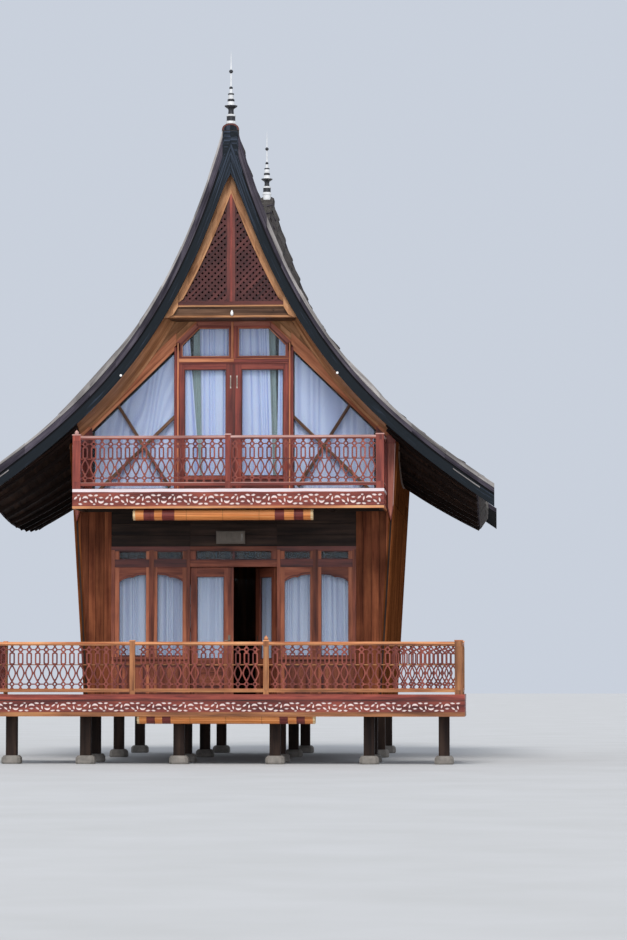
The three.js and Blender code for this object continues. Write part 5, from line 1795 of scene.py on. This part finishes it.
for end, y in (("front", roof_front + 0.09), ("rear", roof_rear - 0.09)):
    needle = Bench()
    needle.turned(finial_profile, (0, y, apex_height), 32, finial_coats)
    needle.make("finial_turned_" + end, [band_white, band_dark], "finial_metal", ["finial_" + end], edge=0,
                smooth=True)

# %% [markdown]
# ## Rear walls
# The photograph doesn't show the back. It is closed plainly, with the same planks as the side
# walls, two windows like those of the front, and a small lattice panel that only decorates the
# planks. Depths are measured from the wall's outer face, so the drawing reads like the front's.


# %% Lower rear wall
def from_behind(u, depth, z):
    return (u, wall_rear - depth, z)


def from_behind_left(u, depth, z):
    return (-u, wall_rear - depth, z)


wall_head = 10.2
window_low, window_high, window_near, window_far = 1.95, 3.25, 0.65, 1.55
both_behind = (from_behind, from_behind_left)
back_wall = Bench()
for back_wall.seat in both_behind:
    reach_low, reach_high = side_inner(lower_foot), side_inner(band_top)
    beside = [(window_far, lower_foot), (reach_low, lower_foot), (reach_high, band_top),
              (window_far, band_top)]
    fields = [beside, oblong(0.0, window_near, lower_foot, band_top),
              oblong(window_near, window_far, lower_foot, window_low),
              oblong(window_near, window_far, window_high, band_top)]
    for field in fields:
        planked(back_wall, field, *skin, 0.165, 0.005, 90, 0.05)
        planked(back_wall, field, *lining, 0.165, 0.004, 90, 0.05)
        back_wall.plate(field, *core, coat=1)
    for lap, width, near, far in ((0.0, 0.06, -0.012, 0.08), (0.07, 0.07, -0.02, -0.001)):
        frame_line = oblong(window_near - lap, window_far + lap, window_low - lap, window_high + lap)
        border(back_wall, frame_line, width, near, far, coat=2)
    middle = (window_near + window_far) / 2
    back_wall.board((middle - 0.03, 0.01, window_low + 0.06), (middle + 0.03, 0.08, window_high - 0.06),
                    coat=2)
    for u0, u1 in ((window_near + 0.06, middle - 0.03), (middle + 0.03, window_far - 0.06)):
        back_wall.board((u0, 0.015, 2.78), (u1, 0.08, 2.82), coat=2)
    for reach, z0, z1 in ((reach_high, 4.38, band_top), (reach_low, lower_foot, skirting_top)):
        back_wall.board((0.0, -0.02, z0), (reach + 0.06, -0.001, z1), along=sideways, coat=1)
back_wall.make("rear_boards_lower", [brown_wood, dark_timber, red_wood], "brown_boards", ["lower_rear_wall"],
               edge=0.0025)

# %% Rear gable
gable_wall = Bench()
for gable_wall.seat in both_behind:
    foot_reach = side_inner(upper_foot)
    widest = side_inner(5.3)
    field = [(0.0, upper_foot), (foot_reach, upper_foot), (widest, 5.3), (widest, wall_head),
             (0.0, wall_head)]
    curved_planks(gable_wall, field, *skin, 0.165, 90, wall_rear, 0)
    curved_planks(gable_wall, field, core[0], lining[1], 0.33, 90, wall_rear, 1, 0.0)
    for reach, z0, z1 in ((reach_under_roof(7.02, wall_rear), 6.9, 7.02), (foot_reach, upper_foot, 4.7)):
        gable_wall.board((0.0, -0.02, z0), (reach, -0.001, z1), along=sideways, coat=1)
gable_wall.seat = from_behind
panel = {"half": 0.62, "apex": 9.1, "base": 7.7}
lattice_bars(gable_wall, -0.032, **panel)
gable_wall.plate(in_triangle(oblong(-0.04, 0.04, 7.6, 9.4), **panel), -0.04, -0.001, coat=2)
border(gable_wall, [(-0.66, 7.64), (0.66, 7.64), (0.0, 9.22)], 0.05, -0.04, -0.001, coat=2)
gable_wall.make("rear_boards_gable", [brown_wood, dark_timber, red_wood], "brown_boards", ["rear_gable_wall"],
                edge=0)

# %% [markdown]
# ## Curtains
# White curtains hang close behind the glass. They are single sheets of cloth: a grid whose
# depth follows soft pleats that grow towards the hem. A sum of a few waves with a little drift
# looks like hanging cloth, and needs no simulation, because nothing pulls the cloth about.
# One upper curtain is drawn aside, so its pleats slant. In the middle a grey-green curtain,
# gathered in tight folds, shows between the white ones. It leans a little more at the right.

# %% Curtain cloth
def curtain_cloth(name, shaded, lit):
    """Woven cloth. It is darker and bluer inside its pleats, where less light reaches it."""
    cloth = Finish(name, 0.85)
    cloth.surface.inputs["Sheen Weight"].default_value = 0.3
    cloth.surface.inputs["Subsurface Weight"].default_value = 0.08
    grain = cloth.marked("grain")
    threads = [cloth.add("TexWave", {"Vector": grain, "Scale": 260.0, "Distortion": 0.4}, output=1,
                         bands_direction=way) for way in ("X", "Y")]
    soft = cloth.noise(cloth.scaled(grain, (3.0, 0.6, 1.0)), 1.0, 4.0)
    level = cloth.math("ADD", cloth.marked("fold", "Fac"), cloth.math("MULTIPLY", soft, 0.5))
    colour = cloth.ramp(level, (0.25, shaded), (0.85, lit))
    return cloth.finish(colour, None, cloth.math("MULTIPLY", *threads), 0.0006, 0.4)


upper_cloth = curtain_cloth("white_curtain_cloth", srgb(148, 164, 220), srgb(208, 224, 255))
lower_cloth = curtain_cloth("shaded_curtain_cloth", srgb(138, 148, 180), srgb(180, 193, 216))
green_cloth = curtain_cloth("grey_green_curtain_cloth", srgb(66, 84, 86), srgb(158, 180, 178))


def line_length(places):
    return sum((b - a).length for a, b in zip(places, places[1:]))


def curtain(name, node, span, foot, head, middle, swing, folds, seat=as_drawn, slant=0.0,
            body="house", drawn=(0.0, 0.0), finish=upper_cloth):
    """A hung sheet. Span is across, head gives the top at a place across, slant leans the pleats.
    Drawn says how far each side edge has moved by the hem."""
    across, down = max(24, folds * 12), 40
    drift = [chance.uniform(-1, 1) for _ in range(6)]
    points, grain, fold = [], [], []
    for fall in evenly(0, 1, down):
        for share in evenly(0, 1, across):
            u = span[0] + (span[1] - span[0]) * share
            top = head(u)
            u += fall * (drawn[0] + (drawn[1] - drawn[0]) * share)
            z = top - (top - foot) * fall
            phase = folds * (share + slant * fall * (1 - share))
            phase += 0.25 * math.sin(3 * share * drift[0] + 2 * fall * drift[1])
            phase += 0.5 * math.sin(9 * share + 6 * drift[4]) + 0.3 * math.sin(17 * share + 6 * drift[5])
            wave = math.sin(math.tau * phase)
            wave += 0.35 * math.sin(math.tau * (phase * 1.7 + drift[2]) + fall * drift[3])
            grow = 0.55 + 0.45 * fall
            points.append(seat(u, middle + swing * grow * wave / 1.35, z))
            grain.append((u * 1.3, z, 0.0))
            fold.append(0.5 + 0.08 * fall - 0.3 * wave * min(1.0, swing / 0.022))
    wide = across + 1
    faces = [(r * wide + c, r * wide + c + 1, (r + 1) * wide + c + 1, (r + 1) * wide + c)
             for r in range(down) for c in range(across)]
    mesh = bpy.data.meshes.new(name)
    mesh.from_pydata(points, [], faces)
    mesh.materials.append(finish)
    mark(mesh, "grain", grain)
    mark(mesh, "fold", fold)
    mesh.polygons.foreach_set("use_smooth", [True] * len(faces))
    sheet = added(name, mesh)
    fit(sheet, [node], body)
    area = sum(face.area for face in mesh.polygons)
    rows = [[Vector(p) for p in points[r * wide:(r + 1) * wide]] for r in range(down + 1)]
    tall = max(line_length(line) for line in zip(*rows))
    broad = max(area / tall, *(line_length(row) for row in rows))
    print(f"{name}: {broad:.2f} x {tall:.2f} m flat, {area:.2f} square metres")


# %% Hang the curtains
upper_hem, lower_hem = 4.62, 1.66


def under_lights(u):
    """The top of the middle curtains, which follows the cut corner of the lights."""
    return min(7.39, 7.38 - (u - 0.6)) if u > 0.6 else 7.39


for side, seat in both_sides:
    for part, span, folds in (("inner", (0.84, 1.385), 6), ("outer", (1.415, 2.02), 7)):
        curtain(f"curtain_lower_{side}_{part}", "lower_curtain_" + side, span, lower_hem, lambda u: 3.28,
                -2.8585, 0.022, folds, seat, finish=lower_cloth)
    curtain("curtain_upper_" + side, "upper_curtain_" + side, (1.035, 2.39), upper_hem,
            lambda u: glazing_line(u, -0.03), -2.868, 0.011, 8, seat, slant=-0.7 if side == "left" else 0.0)
    inner_edge, outer_edge, gather = (-0.045, -0.2, 0.0) if side == "left" else (0.085, -0.045, 0.11)
    for part, span, drawn, folds, depth, swing, finish in (
            ("inner", (0.02, 0.59), (0.0, inner_edge), 7, -2.868, 0.02, upper_cloth),
            ("outer", (0.765, 0.895), (outer_edge, 0.0), 3, -2.868, 0.02, upper_cloth),
            ("gathered", (0.55, 0.7), (gather, 0.05), 5, -2.832, 0.012, green_cloth)):
        curtain(f"curtain_middle_{side}_{part}", "upper_curtain_middle", span, upper_hem, under_lights, depth,
                swing, folds, seat, drawn=drawn, finish=finish)
for side, seat in leaf_sides:
    curtain("curtain_door_" + side, f"door_{side}_curtain", (0.126, 0.664), 1.713, lambda u: 3.187, -2.8797,
            0.008, 8, seat, body="door_" + side, finish=lower_cloth)

# %% [markdown]
# ## Lamps on the eaves
# A small white lamp is fixed to the barge boards at each side. It is a turned cup with a flat
# base, no larger than a hand.

# %% Two lamps
for side, x, share in (("left", -1.85, 0.93), ("right", 1.81, 0.98)):
    z = below(abs(x), share * barge_depth(abs(x)))
    cup = Bench(lambda u, depth, height, x=x, z=z: (x + u, roof_front - 0.022 - height, z + depth))
    cup_profile = [(0.024, -0.022), (0.024, 0.0), (0.021, 0.004), (0.02, 0.008), (0.014, 0.011)]
    cup.turned(cup_profile, (0, 0, 0), 16, [1, 1, 0, 0])
    cup.make("eave_lamp_" + side, [lamp_white, box_paint], "grey_plastic", edge=0, smooth=True)
